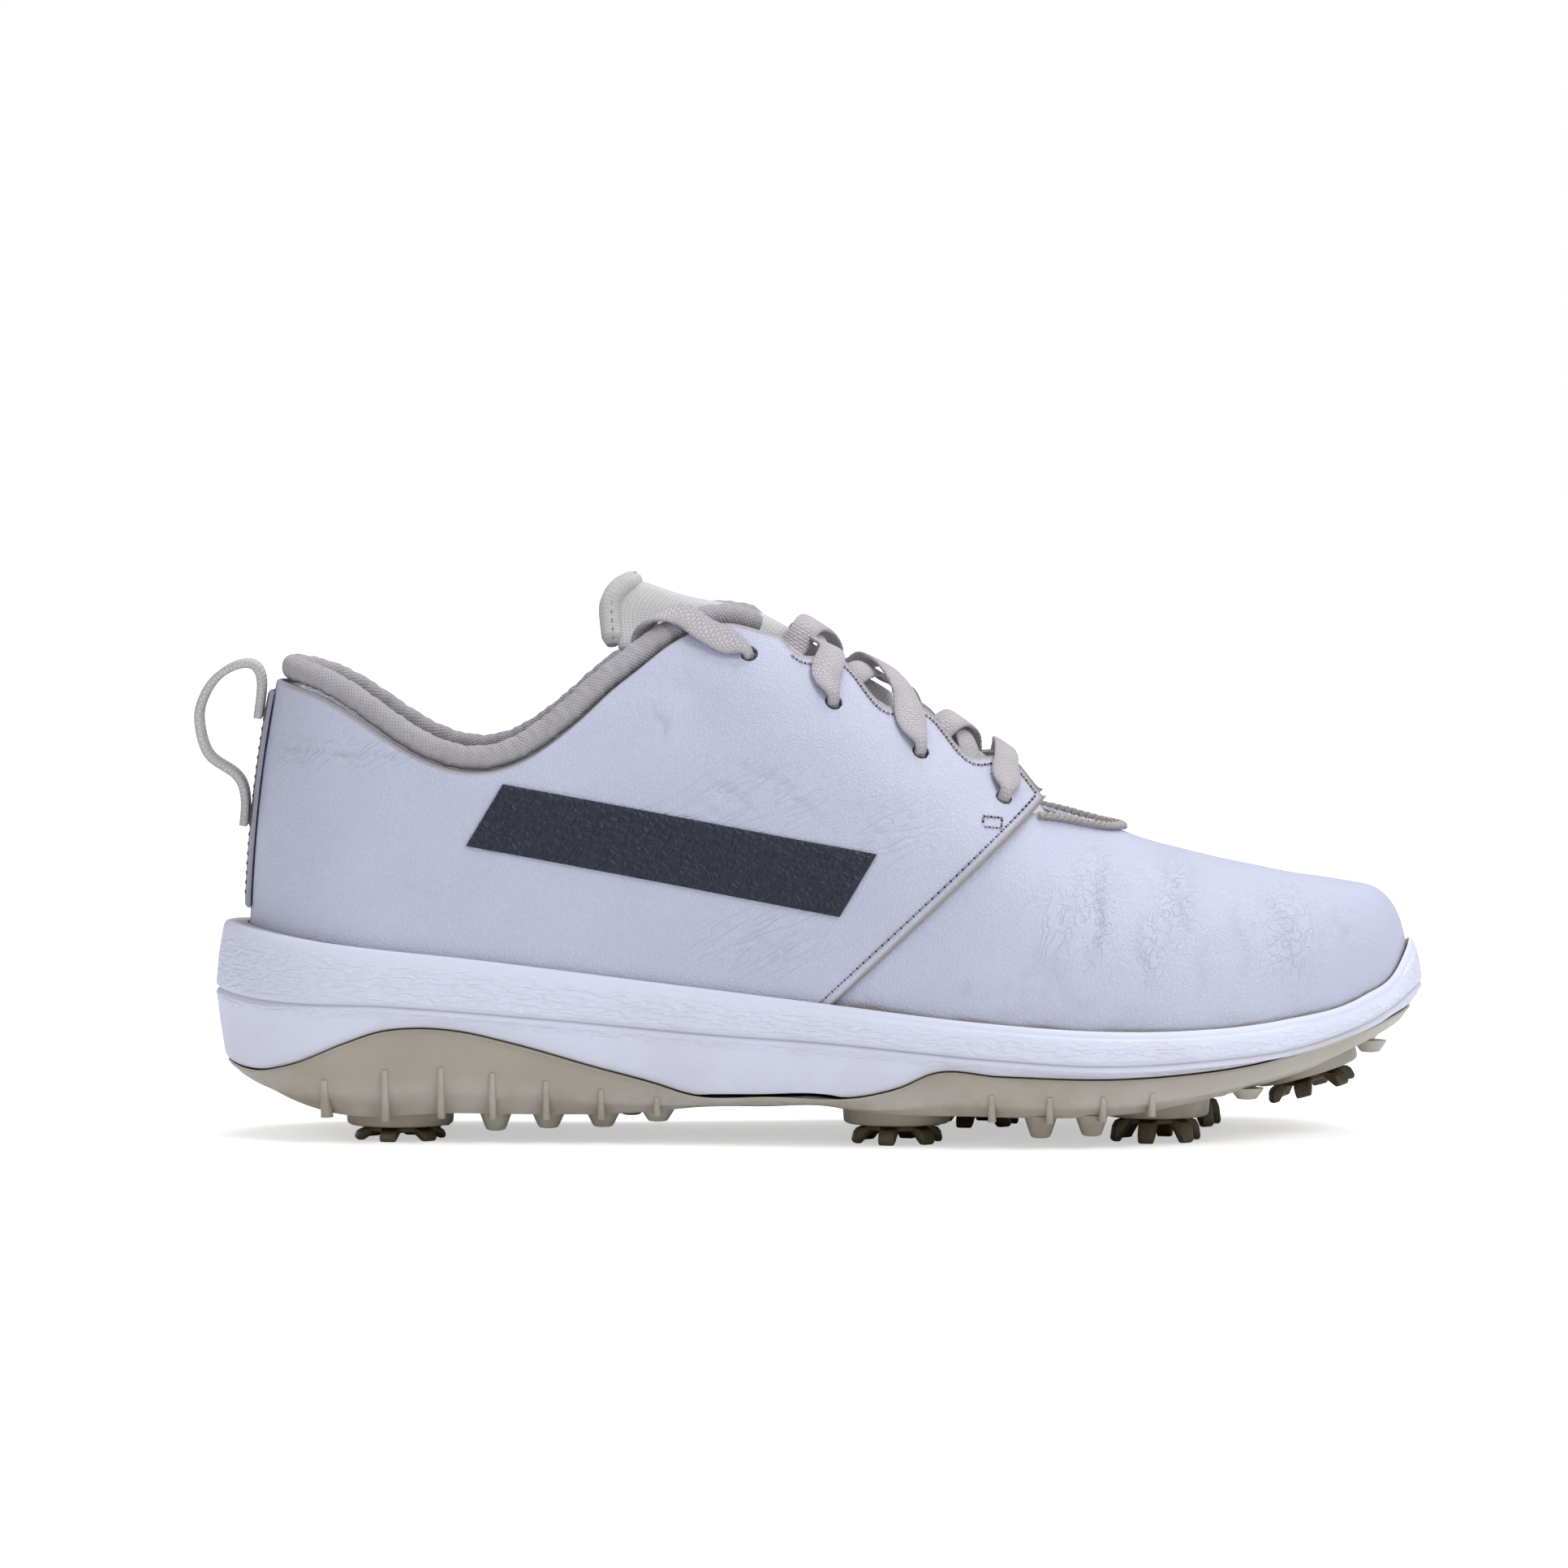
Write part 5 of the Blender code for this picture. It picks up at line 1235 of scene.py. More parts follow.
def toe_grid(rear, low, high, rows, columns):
    """(r, phi) from one side round the toe to the other; rear(phi) is where a row begins."""
    phi = np.radians(np.linspace(low, high, rows))[:, None]
    q = np.linspace(1, 0, columns // 2 + 1)
    station = TOE_TIP - (TOE_TIP - rear(np.degrees(phi))) * q**1.6
    r = np.concatenate([ring_of(OUTER, station), ring_of(INNER, station)[:, -2::-1]], axis=1)
    return r, np.broadcast_to(phi, r.shape)


def build_vamp():
    """Toe grid lifted by creases and waves; the top row is zipped along the ridge."""
    r, phi = toe_grid(VAMP_REAR, 0, 90, 110, 300)
    plain = upper(r, phi, VAMP_LIFT)
    x, z = plain[..., 0], plain[..., 2]
    lift = creased(x, z, VAMP_CREASES) * smoothstep(0, 12, abs(plain[..., 1]))
    lift += soft_waves(x, z, 0.7) * 0.8
    lift *= 1 - smoothstep(math.radians(84), math.radians(90), phi)
    columns = np.arange(r.shape[1])
    edge = np.minimum(columns, columns[::-1])
    lift -= np.select([edge == 0, edge == 1, edge == 2], [0.5, 0.15, 0.02], 0.0)
    outer = upper(r, phi, VAMP_LIFT + lift)
    inner = upper(r, phi, VAMP_LIFT - VAMP_THICK)
    for grid in (outer, inner):
        grid[-1] = (grid[-1] + grid[-1, ::-1]) / 2
    # Painted shade: the crease valleys and a band fading over 0.6 mm above the midsole rim turn
    # towards tan.
    wear_and_painted_shade = 0.3 * np.clip(-creased(x, z, VAMP_CREASES) / 0.7, 0, 1)
    wear_and_painted_shade = np.maximum(wear_and_painted_shade, 0.7 * (1 - smoothstep(0.0, 0.6, z - rim_height(x))))
    values = np.concatenate([wear_and_painted_shade.ravel(), np.full(wear_and_painted_shade.size, 0.3)])
    lines = np.tile(crinkled(x, z, VAMP_CRINKLES).ravel(), 2)
    points, faces, values, lines = tidy(*shell(outer, inner, zip_top=True), values, lines)
    piece = make_piece("leather_vamp", points, faces, vamp_leather,
                       values={"tint_share": values, "crinkle": lines})
    return finish_piece(piece, "shoe", "upper_leather", "vamp")


build_vamp()

# %% Eyestay underlays
def build_eyestay(side):
    """The strip behind the scallops, punched with the same holes; its border drops a little."""
    x = np.linspace(143.5, 191.5, 84)
    v = np.linspace(0, 1, 26)[:, None]
    r, phi = locate(side, x, lacing_line(117.4, x) + 0.9 - 12.4 * (1 - v))
    outer = upper(r, phi, -0.75 - 0.2 * (rim_steps(r.shape) == 0))
    inner = upper(r, phi, -1.5)
    keep = punch(outer, inner, side)
    name = SIDE_NAMES[side]
    points, faces = tidy(*shell(outer, inner, keep))
    piece = make_piece("leather_eyestay_" + name, points, faces, stay_leather)
    return finish_piece(piece, "shoe", "eyestay_leather", "eyestay_" + name)


for side in (OUTER, INNER):
    build_eyestay(side)

# %% [markdown]
# ## Seams
# The panels are held by rows of thread, which catch the light as fine dashes. Each row
# follows a line on the last, lifted just off its panel, and its dashes are real bows of
# thread with few faces, because there are hundreds of them.

# %% Stitch rows
def stitch_row(r, phi, lift, **how):
    """Dashes along (r, phi), lifted over the last."""
    fine = np.linspace(0, len(r) - 1, 400)
    at = np.arange(len(r))
    r, phi = np.interp(fine, at, r), np.interp(fine, at, phi)
    low, high = upper(r, phi, lift), upper(r, phi, lift + 1)
    path, normal = resample(low, 0.4, high - low)
    return stitches(path, normal, **how)


def view_row(side, stations, heights, lift, **how):
    """Dashes along a line given in side view."""
    return stitch_row(*locate(side, np.asarray(stations, float), heights), lift, **how)


def build_stitching(side):
    """The scallops' row, the diagonal seam's row and the closed loop at its top."""
    x = np.linspace(143, 203.5, 300)
    rows, holes = [], []

    def sew(stations, heights, length, gap):
        """A row of dashes, and in each gap a dark dash that paints the shade in a needle hole."""
        step = length + gap
        rows.append(view_row(side, stations, heights, QUARTER_LIFT + 0.12, length=length,
                             gap=gap, thick=0.55))
        # Painted shade: a near-black dash in each gap stands for the shade inside the needle hole.
        holes.append(view_row(side, stations, heights, QUARTER_LIFT + 0.02, length=0.55,
                              gap=step - 0.55, thick=0.62, first=1.0))

    sew(x, lacing_height(x) - 2.1, 1.5, 0.8)
    share = np.linspace(0.02, 0.97, 60)
    seam_x = SEAM_FOOT[0] + (SEAM_TOP[0] - SEAM_FOOT[0]) * share
    seam_z = SEAM_FOOT[1] + (SEAM_TOP[1] - SEAM_FOOT[1]) * share
    sew(seam_x - 1.5, seam_z + 1.5, 1.35, 0.75)
    tack_x = [190.4, 194.9, 195.1, 190.6, 190.4]
    tack_z = [77.5, 76.9, 79.3, 79.9, 77.5]
    sew(tack_x, tack_z, 1.3, 0.5)
    points, faces, uv = join(rows)
    name = SIDE_NAMES[side]
    dots = join(holes)
    dark = make_piece("painted_hole_shadows_" + name, *dots[:2], needle_hole_shade)
    finish_piece(dark, "shoe", "upper_leather")
    piece = make_piece("stitching_" + name, points, faces, thread_white, uv=uv)
    return finish_piece(piece, "shoe", "upper_leather")


for side in (OUTER, INNER):
    build_stitching(side)

# %% [markdown]
# ## Side mark
# A plain dark bar with slanted ends lies on each quarter. It is a thin sheet of its own
# with a rounded rim, so its edge casts a real line of shadow on the leather.

# %% Side marks
def build_mark(side):
    """Slanted bar: station and height are linear in (along, v); the rim drops by a curve."""
    along = np.linspace(0, 1, 150)
    v = np.linspace(0, 1, 28)[:, None]
    x, z = 64 + 92 * along + 9 * v, 73.5 - 17 * along + 15 * v
    r, phi = locate(side, x, z)
    rim = rim_steps(r.shape)
    drop = np.select([rim == 0, rim == 1], [0.4, 0.1], 0.0)
    outer = upper(r, phi, QUARTER_LIFT + 1.0 - drop + soft_waves(x, z, 1.3 * side))
    inner = upper(r, phi, QUARTER_LIFT + 0.25)
    name = SIDE_NAMES[side]
    piece = make_piece("plain_bar_" + name, *shell(outer, inner), navy_leather)
    return finish_piece(piece, "shoe", "side_mark", "side_mark_" + name)


for side in (OUTER, INNER):
    build_mark(side)

# %% [markdown]
# ## Padded collar
# Foam under a knitted sleeve makes a soft roll round the ankle. Where it bends, the
# sleeve gathers in small folds. Cloth simulation is the usual way to get folds, but it
# needs a fine mesh and time to settle. Here a formula presses them into the roll.

# %% Collar roll
def build_collar():
    """Radius = 3.15 mm less folds; folds are crossing sines, deepest where the roll bends."""
    x = COLLAR[0][0] + (COLLAR[-1][0] - COLLAR[0][0]) * np.linspace(0, 1, 60)**1.5
    x[0] = HEEL_END
    halves, normals = [], []
    for side in (OUTER, INNER):
        r, phi = locate(side, x, collar_height(x))
        halves.append(upper(r, phi, ROLL_LIFT))
        normals.append(upper(r, phi, ROLL_LIFT + 1) - halves[-1])
    path = np.concatenate([halves[0][:0:-1], halves[1]])
    normal = np.concatenate([normals[0][:0:-1], normals[1]])
    path, normal = resample(path, 0.45, normal)
    run = 0.45 * np.arange(len(path))[:, None]
    sides = 30
    turn = 2 * math.pi * (np.arange(sides) + 0.5) / sides
    fold = (np.sin(1.9 * run + 1.4 * np.sin(0.11 * run) + 0.9 * np.sin(turn))
            * np.sin(0.37 * run + turn) + 0.6 * np.sin(0.83 * run - 2 * turn + np.sin(0.05 * run)))
    ends = np.minimum(run, run[::-1])
    radius = ROLL_RADIUS * (1 - 0.042 * (1.2 + fold)) * np.clip(0.25 + ends / 4, 0, 1)**0.5
    section = np.stack([radius * np.cos(turn), radius * np.sin(turn)], axis=-1)
    points, faces, uv = roll(path, normal, section)
    piece = make_piece("collar_roll", points, faces, roll_cloth, uv=uv)
    finish_piece(piece, "shoe", "collar_fabric", "collar_binding")
    return piece


build_collar()

# %% [markdown]
# ## Lining and heel
# A pale knitted lining covers the inside round the heel. At the back a leather strip
# covers the heel seam, and a loop of webbing for pulling the shoe on is sewn to it.

# %% Quarter lining
LINING_OUTSIDE, LINING_INSIDE = -3.7, -4.7


def build_lining():
    """Both sides in one sheet: top line under the roll, foot on the footbed line."""
    x = np.linspace(COLLAR[0][0], 136, 90)
    slope = (collar_height(x + 1) - collar_height(x - 1)) / 2
    length = np.sqrt(1 + slope**2)
    more = np.linspace(143, 203, 30)
    drop = ROLL_CLEARANCE + 0.6
    top_x = np.concatenate([x + drop * slope / length, more])
    top_x[0] = HEEL_END
    top_z = np.concatenate([collar_height(x) - drop / length, lacing_line(96.4, more)])
    foot = HEEL_END + (208 - HEEL_END) * ((top_x - HEEL_END) / (203 - HEEL_END))
    foot = np.maximum.accumulate(foot)
    v = np.linspace(0, 1, 60)[:, None]
    grids = []
    for lift in (LINING_OUTSIDE, LINING_INSIDE):
        halves = []
        for side in (OUTER, INNER):
            r, phi = wall_grid(side, top_x, top_z, foot, bed_height(foot), v, np.zeros(len(foot)))
            halves.append(upper(r, phi, lift))
        grids.append(np.concatenate([halves[0][:, :0:-1], halves[1]], axis=1))
    outer, inner = grids
    rows = np.arange(60)[:, None, None]
    columns = np.arange(inner.shape[1])[None, :, None]
    inner = inner + 0.25 * (np.sin(0.9 * columns + 0.4 * rows) * np.sin(0.23 * rows)) * (
        (outer - inner) * 0.5)
    points, faces = shell(outer, inner)
    u = np.repeat(np.arange(inner.shape[1])[None], 60, axis=0) / inner.shape[1]
    w = np.repeat(np.arange(60)[:, None], inner.shape[1], axis=1) * 1.4
    uv = np.tile(np.stack([u, w], axis=-1).reshape(-1, 2), (2, 1))
    piece = make_piece("heel_lining", points, faces, lining_cloth, uv=uv)
    return finish_piece(piece, "shoe", "lining_fabric", "quarter_lining")


build_lining()

# %% Heel strip and its stitches
RING_LENGTH = 340  # how many millimetres of the heel one unit of the ring value counts for


def build_backstay():
    """A strip 13 mm wide down the heel seam with a rounded rim and two rows of thread."""
    width = np.linspace(-6.5, 6.5, 40)
    low, high = phi_at(HEEL_END, 56.5), phi_at(HEEL_END, 110.0)
    phi = np.linspace(low, high, 110)[:, None]
    r = np.mod(np.broadcast_to(-width / RING_LENGTH, (110, 40)), 2)
    phi = np.broadcast_to(phi, r.shape)
    rim = rim_steps(r.shape)
    drop = np.select([rim == 0, rim == 1], [0.45, 0.12], 0.0)
    drop = drop + 0.3 * np.exp(-(width / 0.5)**2)
    outer = upper(r, phi, QUARTER_LIFT + 1.5 - drop)
    inner = upper(r, phi, QUARTER_LIFT + 0.5)
    piece = make_piece("heel_strip", *shell(outer, inner), back_leather)
    finish_piece(piece, "shoe", "backstay_leather", "backstay")
    rows_of_thread = [
        stitch_row(np.full(60, side * 4.8 / RING_LENGTH),
                   np.linspace(low + 0.02, high - 0.02, 60),
                   QUARTER_LIFT + 1.55, length=1.6, gap=0.8) for side in (OUTER, INNER)]
    points, faces, uv = join(rows_of_thread)
    seam = make_piece("heel_stitching", points, faces, seam_thread, uv=uv)
    return finish_piece(seam, "shoe", "backstay_leather")


build_backstay()

# %% Pull loop
LOOP_PATH = [(12.0, 103.5), (12.6, 108), (12.9, 112.5), (12.0, 116), (9.3, 117.9), (4.4, 117),
             (-0.8, 113), (-3.7, 107.5), (-4.3, 103), (-3.3, 97.4), (-0.8, 93), (3.4, 90.2),
             (6.4, 87), (7.2, 82), (6.8, 77)]
LOOP_WIDTH, LOOP_THICK = 14.0, 2.2


def build_loop():
    """Webbing: a flat outline, thinner between its edges, carried along a spline."""
    path = np.array(LOOP_PATH, float)
    t = np.arange(len(path))
    fine = np.linspace(0, len(path) - 1, 200)
    x, z = (natural_spline(np.column_stack([t, path[:, k]]))(fine) for k in (0, 1))
    track = np.stack([x, np.zeros_like(x), z], axis=-1)
    way = np.gradient(track, axis=0)
    normal = np.stack([-way[:, 2], np.zeros_like(x), way[:, 0]], axis=-1)
    middle = np.array([9, 0, 101])
    normal *= np.sign(((track - middle) * normal).sum())
    track = track - 0.8 * normal / np.linalg.norm(normal, axis=1, keepdims=True)
    section = np.broadcast_to(outline(LOOP_WIDTH, LOOP_THICK, 44, 6.0), (200, 44, 2)).copy()
    edge = np.abs(section[..., 0]) > LOOP_WIDTH * 0.36
    section[..., 1] *= np.where(edge, 1.0, 0.82)
    points, faces, uv = roll(track, normal, section)
    piece = make_piece("pull_loop", points, faces, loop_cloth, uv=uv)
    return finish_piece(piece, "shoe", "webbing", "heel_pull_loop")


build_loop()

# %% [markdown]
# ## Tongue
# The padded tongue sits under the lace and swings on its sewn base. It swells between
# the lacing edges, and its top is bound by a band of the same cloth with a line of
# thread along the middle.

# %% Tongue and its binding
TONGUE_THICK = 2.4


def tongue_lift(station, phi):
    """Depth under the last's surface: low beside the eyelets, higher along the crown."""
    top = 1 - smoothstep(116, 136, station)
    crown = smoothstep(np.radians(76 - 16 * top), math.radians(87), phi)
    seated = 1 - smoothstep(198, 214, station)
    return -5.5 - 3.4 * top * (1 - crown) + (3.2 - 1.2 * top) * seated * crown


def build_tongue():
    """Half a grid from its side edge to the crown, mirrored; its rim is rounded."""
    along = np.linspace(0, 1, 190)[:, None]
    edge = np.radians(56 - 6 * np.sin(math.pi * along))
    phi = edge + (math.pi / 2 - edge) * np.linspace(0, 1, 60)
    top = 102.4 + 5.3 * smoothstep(math.radians(66), math.radians(90), phi)
    station = top + (231 - top) * along
    rim = rim_steps(phi.shape, open_end=True)
    drop = np.select([rim == 0, rim == 1, rim == 2], [0.8, 0.3, 0.08], 0.0)
    lift = tongue_lift(station, phi)
    grids = []
    for offset in (-drop, -TONGUE_THICK + drop):
        halves = [upper(ring_of(side, station), phi, lift + offset) for side in (OUTER, INNER)]
        grids.append(np.concatenate([halves[0], halves[1][:, -2::-1]], axis=1))
    points, faces = shell(*grids)
    count = grids[0].shape[1]
    u = np.repeat(np.arange(count)[None] / count, 190, axis=0)
    v = np.repeat(np.arange(190)[:, None] * 0.72, count, axis=1)
    uv = np.tile(np.stack([u, v], axis=-1).reshape(-1, 2), (2, 1))
    piece = make_piece("padded_tongue", points, faces, tongue_cloth, uv=uv)
    finish_piece(piece, "tongue_flap", "tongue_fabric", "tongue")
    return piece


def build_tongue_band():
    """A roll 5.1 mm thick along the tongue's top, nipped along its line of thread."""
    phi = np.radians(np.linspace(56, 90, 40))
    station = 101.0 + 5.3 * smoothstep(math.radians(66), math.radians(90), phi)
    sides, ups = [], []
    for side in (OUTER, INNER):
        lift = tongue_lift(station + 3, phi) - TONGUE_THICK / 2
        sides.append(upper(ring_of(side, station), phi, lift))
        ups.append(upper(ring_of(side, station), phi, lift + 1) - sides[-1])
    path = np.concatenate([sides[0], sides[1][-2::-1]])
    normal = np.concatenate([ups[0], ups[1][-2::-1]])
    path, normal = resample(path, 0.4, normal)
    turn = 2 * math.pi * (np.arange(24) + 0.5) / 24
    end = np.minimum(np.arange(len(path)), np.arange(len(path))[::-1])[:, None]
    nip = 1 - 0.05 * np.exp(-((turn - 1.5) / 0.25)**2)
    radius = 2.55 * np.clip(0.3 + end / 8, 0, 1)**0.5 * nip
    section = np.stack([radius * np.cos(turn), radius * np.sin(turn)], axis=-1)
    points, faces, uv = roll(path, normal, section)
    piece = make_piece("tongue_band", points, faces, tongue_cloth, uv=uv)
    finish_piece(piece, "tongue_flap", "tongue_fabric", "tongue_binding")
    rows = stitches(path + 2.45 * normal / np.linalg.norm(normal, axis=1, keepdims=True), normal,
                    length=1.5, gap=0.8, thick=0.4)
    thread = make_piece("tongue_stitching", *rows[:2], thread_white, uv=rows[2])
    return finish_piece(thread, "tongue_flap", "tongue_fabric")


build_tongue()
build_tongue_band()

# %% [markdown]
# ## Throat cord
# A cord whipped round the vamp's edge frames the tongue's base. Two strands wind round
# each other: each is a thin roll whose centre circles the path.

# %% Twisted cord
def build_throat_cord():
    """Strand centre = path + 0.45 mm * (cos, sin) of a turn every 4.2 mm."""
    degrees = np.linspace(60, 90, 40)
    station = VAMP_REAR(degrees) + 2.6
    low, high = ([upper(ring_of(side, station), np.radians(degrees), VAMP_LIFT + lift)
                  for side in (OUTER, INNER)] for lift in (1.25, 2.25))
    path = np.concatenate([low[0], low[1][-2::-1]])
    normal = np.concatenate([high[0], high[1][-2::-1]]) - path
    path, normal = resample(path, 0.3, normal)
    normal /= np.linalg.norm(normal, axis=1, keepdims=True)
    across = np.cross(np.gradient(path, axis=0), normal)
    across /= np.linalg.norm(across, axis=1, keepdims=True)
    turn = 2 * math.pi * 0.3 * np.arange(len(path))[:, None] / 4.2
    section = np.broadcast_to(outline(1.2, 1.2, 10, 2.0), (len(path), 10, 2))
    strands = []
    for phase in (0, math.pi):
        centre = path + 0.45 * (np.cos(turn + phase) * across + np.sin(turn + phase) * normal)
        strands.append(roll(centre, normal, section))
    points, faces, uv = join(strands)
    piece = make_piece("twisted_cord", points, faces, cord_cloth, uv=uv)
    return finish_piece(piece, "shoe", "lace_fabric", "throat_cord")


build_throat_cord()

# %% [markdown]
# ## Foam midsole
# The midsole is one moulding that cups the upper. Its wall has a groove that runs all
# round, and the strips above and below the groove carry a fine wavy embossing. It is a
# loft: one ring of points for each height, all with the same number of points.

# %% Rings and lofts
HALF_RING = 300
EVEN = (np.arange(HALF_RING) + 0.5) / HALF_RING
ENDS_CLOSE = 0.55 * EVEN + 0.45 * (1 - np.cos(math.pi * EVEN)) / 2
RING = np.concatenate([ENDS_CLOSE, 2 - ENDS_CLOSE[::-1]])
SOLE_THICK, PLAY = 3.0, 0.5
RING_X, RING_Y = plan(RING)
RING_OUT = np.stack(plan_normal(RING), axis=-1)


def sole_ring(inset, height):
    """A ring this far inside the midsole's widest line; height is given at each point."""
    out = (margin(RING_X) - inset)[:, None] * RING_OUT
    return np.column_stack([RING_X + out[:, 0], RING_Y + out[:, 1], height])


def between(rings, counts):
    """The rings with more put between them, each gap on a straight line."""
    made = []
    for low, high, count in zip(rings, rings[1:], counts):
        share = (np.arange(count) / count)[:, None, None]
        made.append(low + (high - low) * share)
    return np.concatenate(made + [rings[-1][None]])


def loft(rings):
    """(points, quads) of the closed solid through the rings, ends filled by ladders."""
    n, m = rings.shape[:2]
    index = np.arange(n * m).reshape(n, m)
    k = np.arange(m // 2 - 1)
    caps = [np.stack([ring[k], ring[m - 1 - k], ring[m - 2 - k], ring[k + 1]], axis=-1)
            for ring in (index[0], index[-1][::-1])]
    return rings.reshape(-1, 3), np.concatenate([tube_quads(index), *caps])


# The four height curves, read once at every ring point.
UNDER_LINE, LINE = underside(RING_X), line_height(RING_X)
GROOVE_LINE, RIM_LINE = groove_height(RING_X), rim_height(RING_X)
BOTTOM = UNDER_LINE + SOLE_THICK + PLAY

# %% Midsole
def build_midsole():
    """Wall from the sole line to the rim, with a rounded groove, then down inside the cup."""
    lift = 2.4 - 1.8 * smoothstep(152, 168, RING_X)
    phi_rim = phi_at(RING_X, RIM_LINE - 0.5)
    phi_bed = phi_at(RING_X, bed_height(RING_X))
    rings = [
        sole_ring(15, BOTTOM), sole_ring(7.6, 0.7 * BOTTOM + 0.3 * LINE),
        sole_ring(6.0, np.maximum(LINE - 0.3, BOTTOM + 0.2)),
        sole_ring(3.2, np.maximum(LINE + 0.1, BOTTOM + 0.4)),
    ]
    counts = [2, 2, 3]
    below, above = GROOVE_LINE - LINE, RIM_LINE - GROOVE_LINE
    profile = [
        (2.6, LINE + 0.5), (2.3, LINE + 1.0), (1.2, LINE + 0.45 * below),
        (0.55, LINE + 0.75 * below),
        (0.15, GROOVE_LINE - 1.3), (0.2, GROOVE_LINE - 0.75), (0.55, GROOVE_LINE - 0.45),
        (0.95, GROOVE_LINE), (0.55, GROOVE_LINE + 0.45), (0.15, GROOVE_LINE + 0.75),
        (0.15, GROOVE_LINE + 1.4), (0.75, GROOVE_LINE + 0.5 * above),
        (1.45, RIM_LINE - 0.25 * above), (1.9, RIM_LINE - 1.7), (2.15, RIM_LINE - 0.9),
        (2.6, RIM_LINE - 0.25), (3.3, RIM_LINE),
    ]
    rings += [sole_ring(inset, np.maximum(height, BOTTOM + 0.5)) for inset, height in profile]
    counts += [1, 1, 6, 6, 4, 1, 1, 1, 1, 1, 1, 6, 6, 4, 2, 1, 1]
    cup = upper(RING, phi_rim, lift)
    cup[:, 2] = np.minimum(cup[:, 2], RIM_LINE - 0.35)
    rings += [cup, upper(RING, phi_bed, lift) - np.array([0, 0, PLAY])]
    counts += [2, 10]
    grid = between(rings, counts)
    points, faces = loft(grid)
    height = grid[..., 2]
    outside = np.zeros(height.shape)
    first, last = sum(counts[:5]), sum(counts[:18])
    outside[first:last] = 1
    over, under = height - GROOVE_LINE, GROOVE_LINE - height
    band = smoothstep(0.8, 1.5, over) * (1 - smoothstep(-4.5, -1.5, height - RIM_LINE))
    band = band + smoothstep(0.8, 1.5, under) * (1 - smoothstep(1.8, 4.0, under))
    emboss = (outside * np.clip(band, 0, 1)).ravel()
    # Painted shade: the foam turns towards brown in a 0.6 mm line above its joint with the outsole,
    # in the groove, and inside the cup under the upper.
    tint_share = np.exp(-np.clip(height - LINE, 0, None) / 0.6) * 0.5
    tint_share = tint_share + 0.35 * np.exp(-((height - GROOVE_LINE) / 0.35)**2) * outside
    tint_share[last + 3:] = 0.5
    piece = make_piece("foam_midsole", points, faces, foam_white,
                       values={"emboss": emboss, "tint_share": tint_share.ravel()}, sharp=60)
    return finish_piece(piece, "shoe", "midsole_foam", "midsole")


build_midsole()

# %% [markdown]
# ## Rubber outsole
# The milky outsole has upright ribs on its wall, blunt lugs that grip between the cleats,
# and a round pod for each cleat. The sole, ribs, lugs and pods are simple closed solids
# joined in one mesh. They overlap where they meet, so no Boolean is needed.

# %% Lugs, ribs and pods
CLEATS = [
    ("heel_outer", 47, -17.5), ("heel_inner", 47, 16.5), ("ball_outer", 170, -27),
    ("ball_inner", 190, 21), ("fore_outer", 234, -22), ("fore_inner", 241, 21.5),
    ("toe", 273, 4),
]
POD_DEPTH = 2.8
EDGE_LUGS = [(71, 4.0), (84, 3.2), (97.5, 3.0), (111, 2.4), (205, 4.6), (217.5, 4.4),
             (256, 2.0), (288, 2.2)]
MIDDLE_LUGS = [(84, 0), (104, 0), (212, -6), (214, 8), (256, 1)]
RIBS = [30.5, 44.3, 57.8, 70.4, 83.6, 97.2, 111, 193, 207, 220, 232]


def turned(profile, sides=48):
    """(points, quads) of a closed ring turned about z; profile rows are (radius, level)."""
    turn = 2 * math.pi * np.arange(sides) / sides
    radius, level = np.array(profile, float).T[:, :, None]
    rings = np.stack(np.broadcast_arrays(radius * np.cos(turn), radius * np.sin(turn), level),
                     axis=-1)
    n, m = rings.shape[:2]
    index = np.arange(n * m).reshape(n, m)
    right, up = np.roll(index, -1, axis=1), np.roll(index, -1, axis=0)
    both = np.roll(right, -1, axis=0)
    return rings.reshape(-1, 3), np.stack([index, right, both, up], axis=-1).reshape(-1, 4)


def facing_out(points, faces):
    """The same solid with its faces turned round if they look inwards."""
    return (points, faces if signed_volume(points - points.mean(axis=0), faces) > 0
            else faces[:, ::-1])


def placed(points, x, y, z, tilt):
    """Points turned by tilt about the width axis, then moved to (x, y, z)."""
    c, s = math.cos(tilt), math.sin(tilt)
    turned_x = points[:, 0] * c - points[:, 2] * s
    turned_z = points[:, 0] * s + points[:, 2] * c
    return np.column_stack([turned_x + x, points[:, 1] + y, turned_z + z])


def cleat_frame(x, y):
    """(x, y, height of the pod's flat face, tilt) of the cleat at this place."""
    tilt = math.atan2(float(underside(x + 6) - underside(x - 6)), 12) if x > 255 else 0.0
    return x, y, float(underside(x)) - POD_DEPTH, tilt


def lug(x, y, z, drop):
    """A blunt cone with a rounded tip."""
    profile = [(0.01, 0.8), (4.2, 0.8), (3.9, 0.1), (2.7, -0.75 * drop), (2.3, -0.94 * drop),
               (1.6, -drop), (0.01, -drop)]
    points, faces = turned(profile, 20)
    return placed(points, x, y, z, 0.0), faces


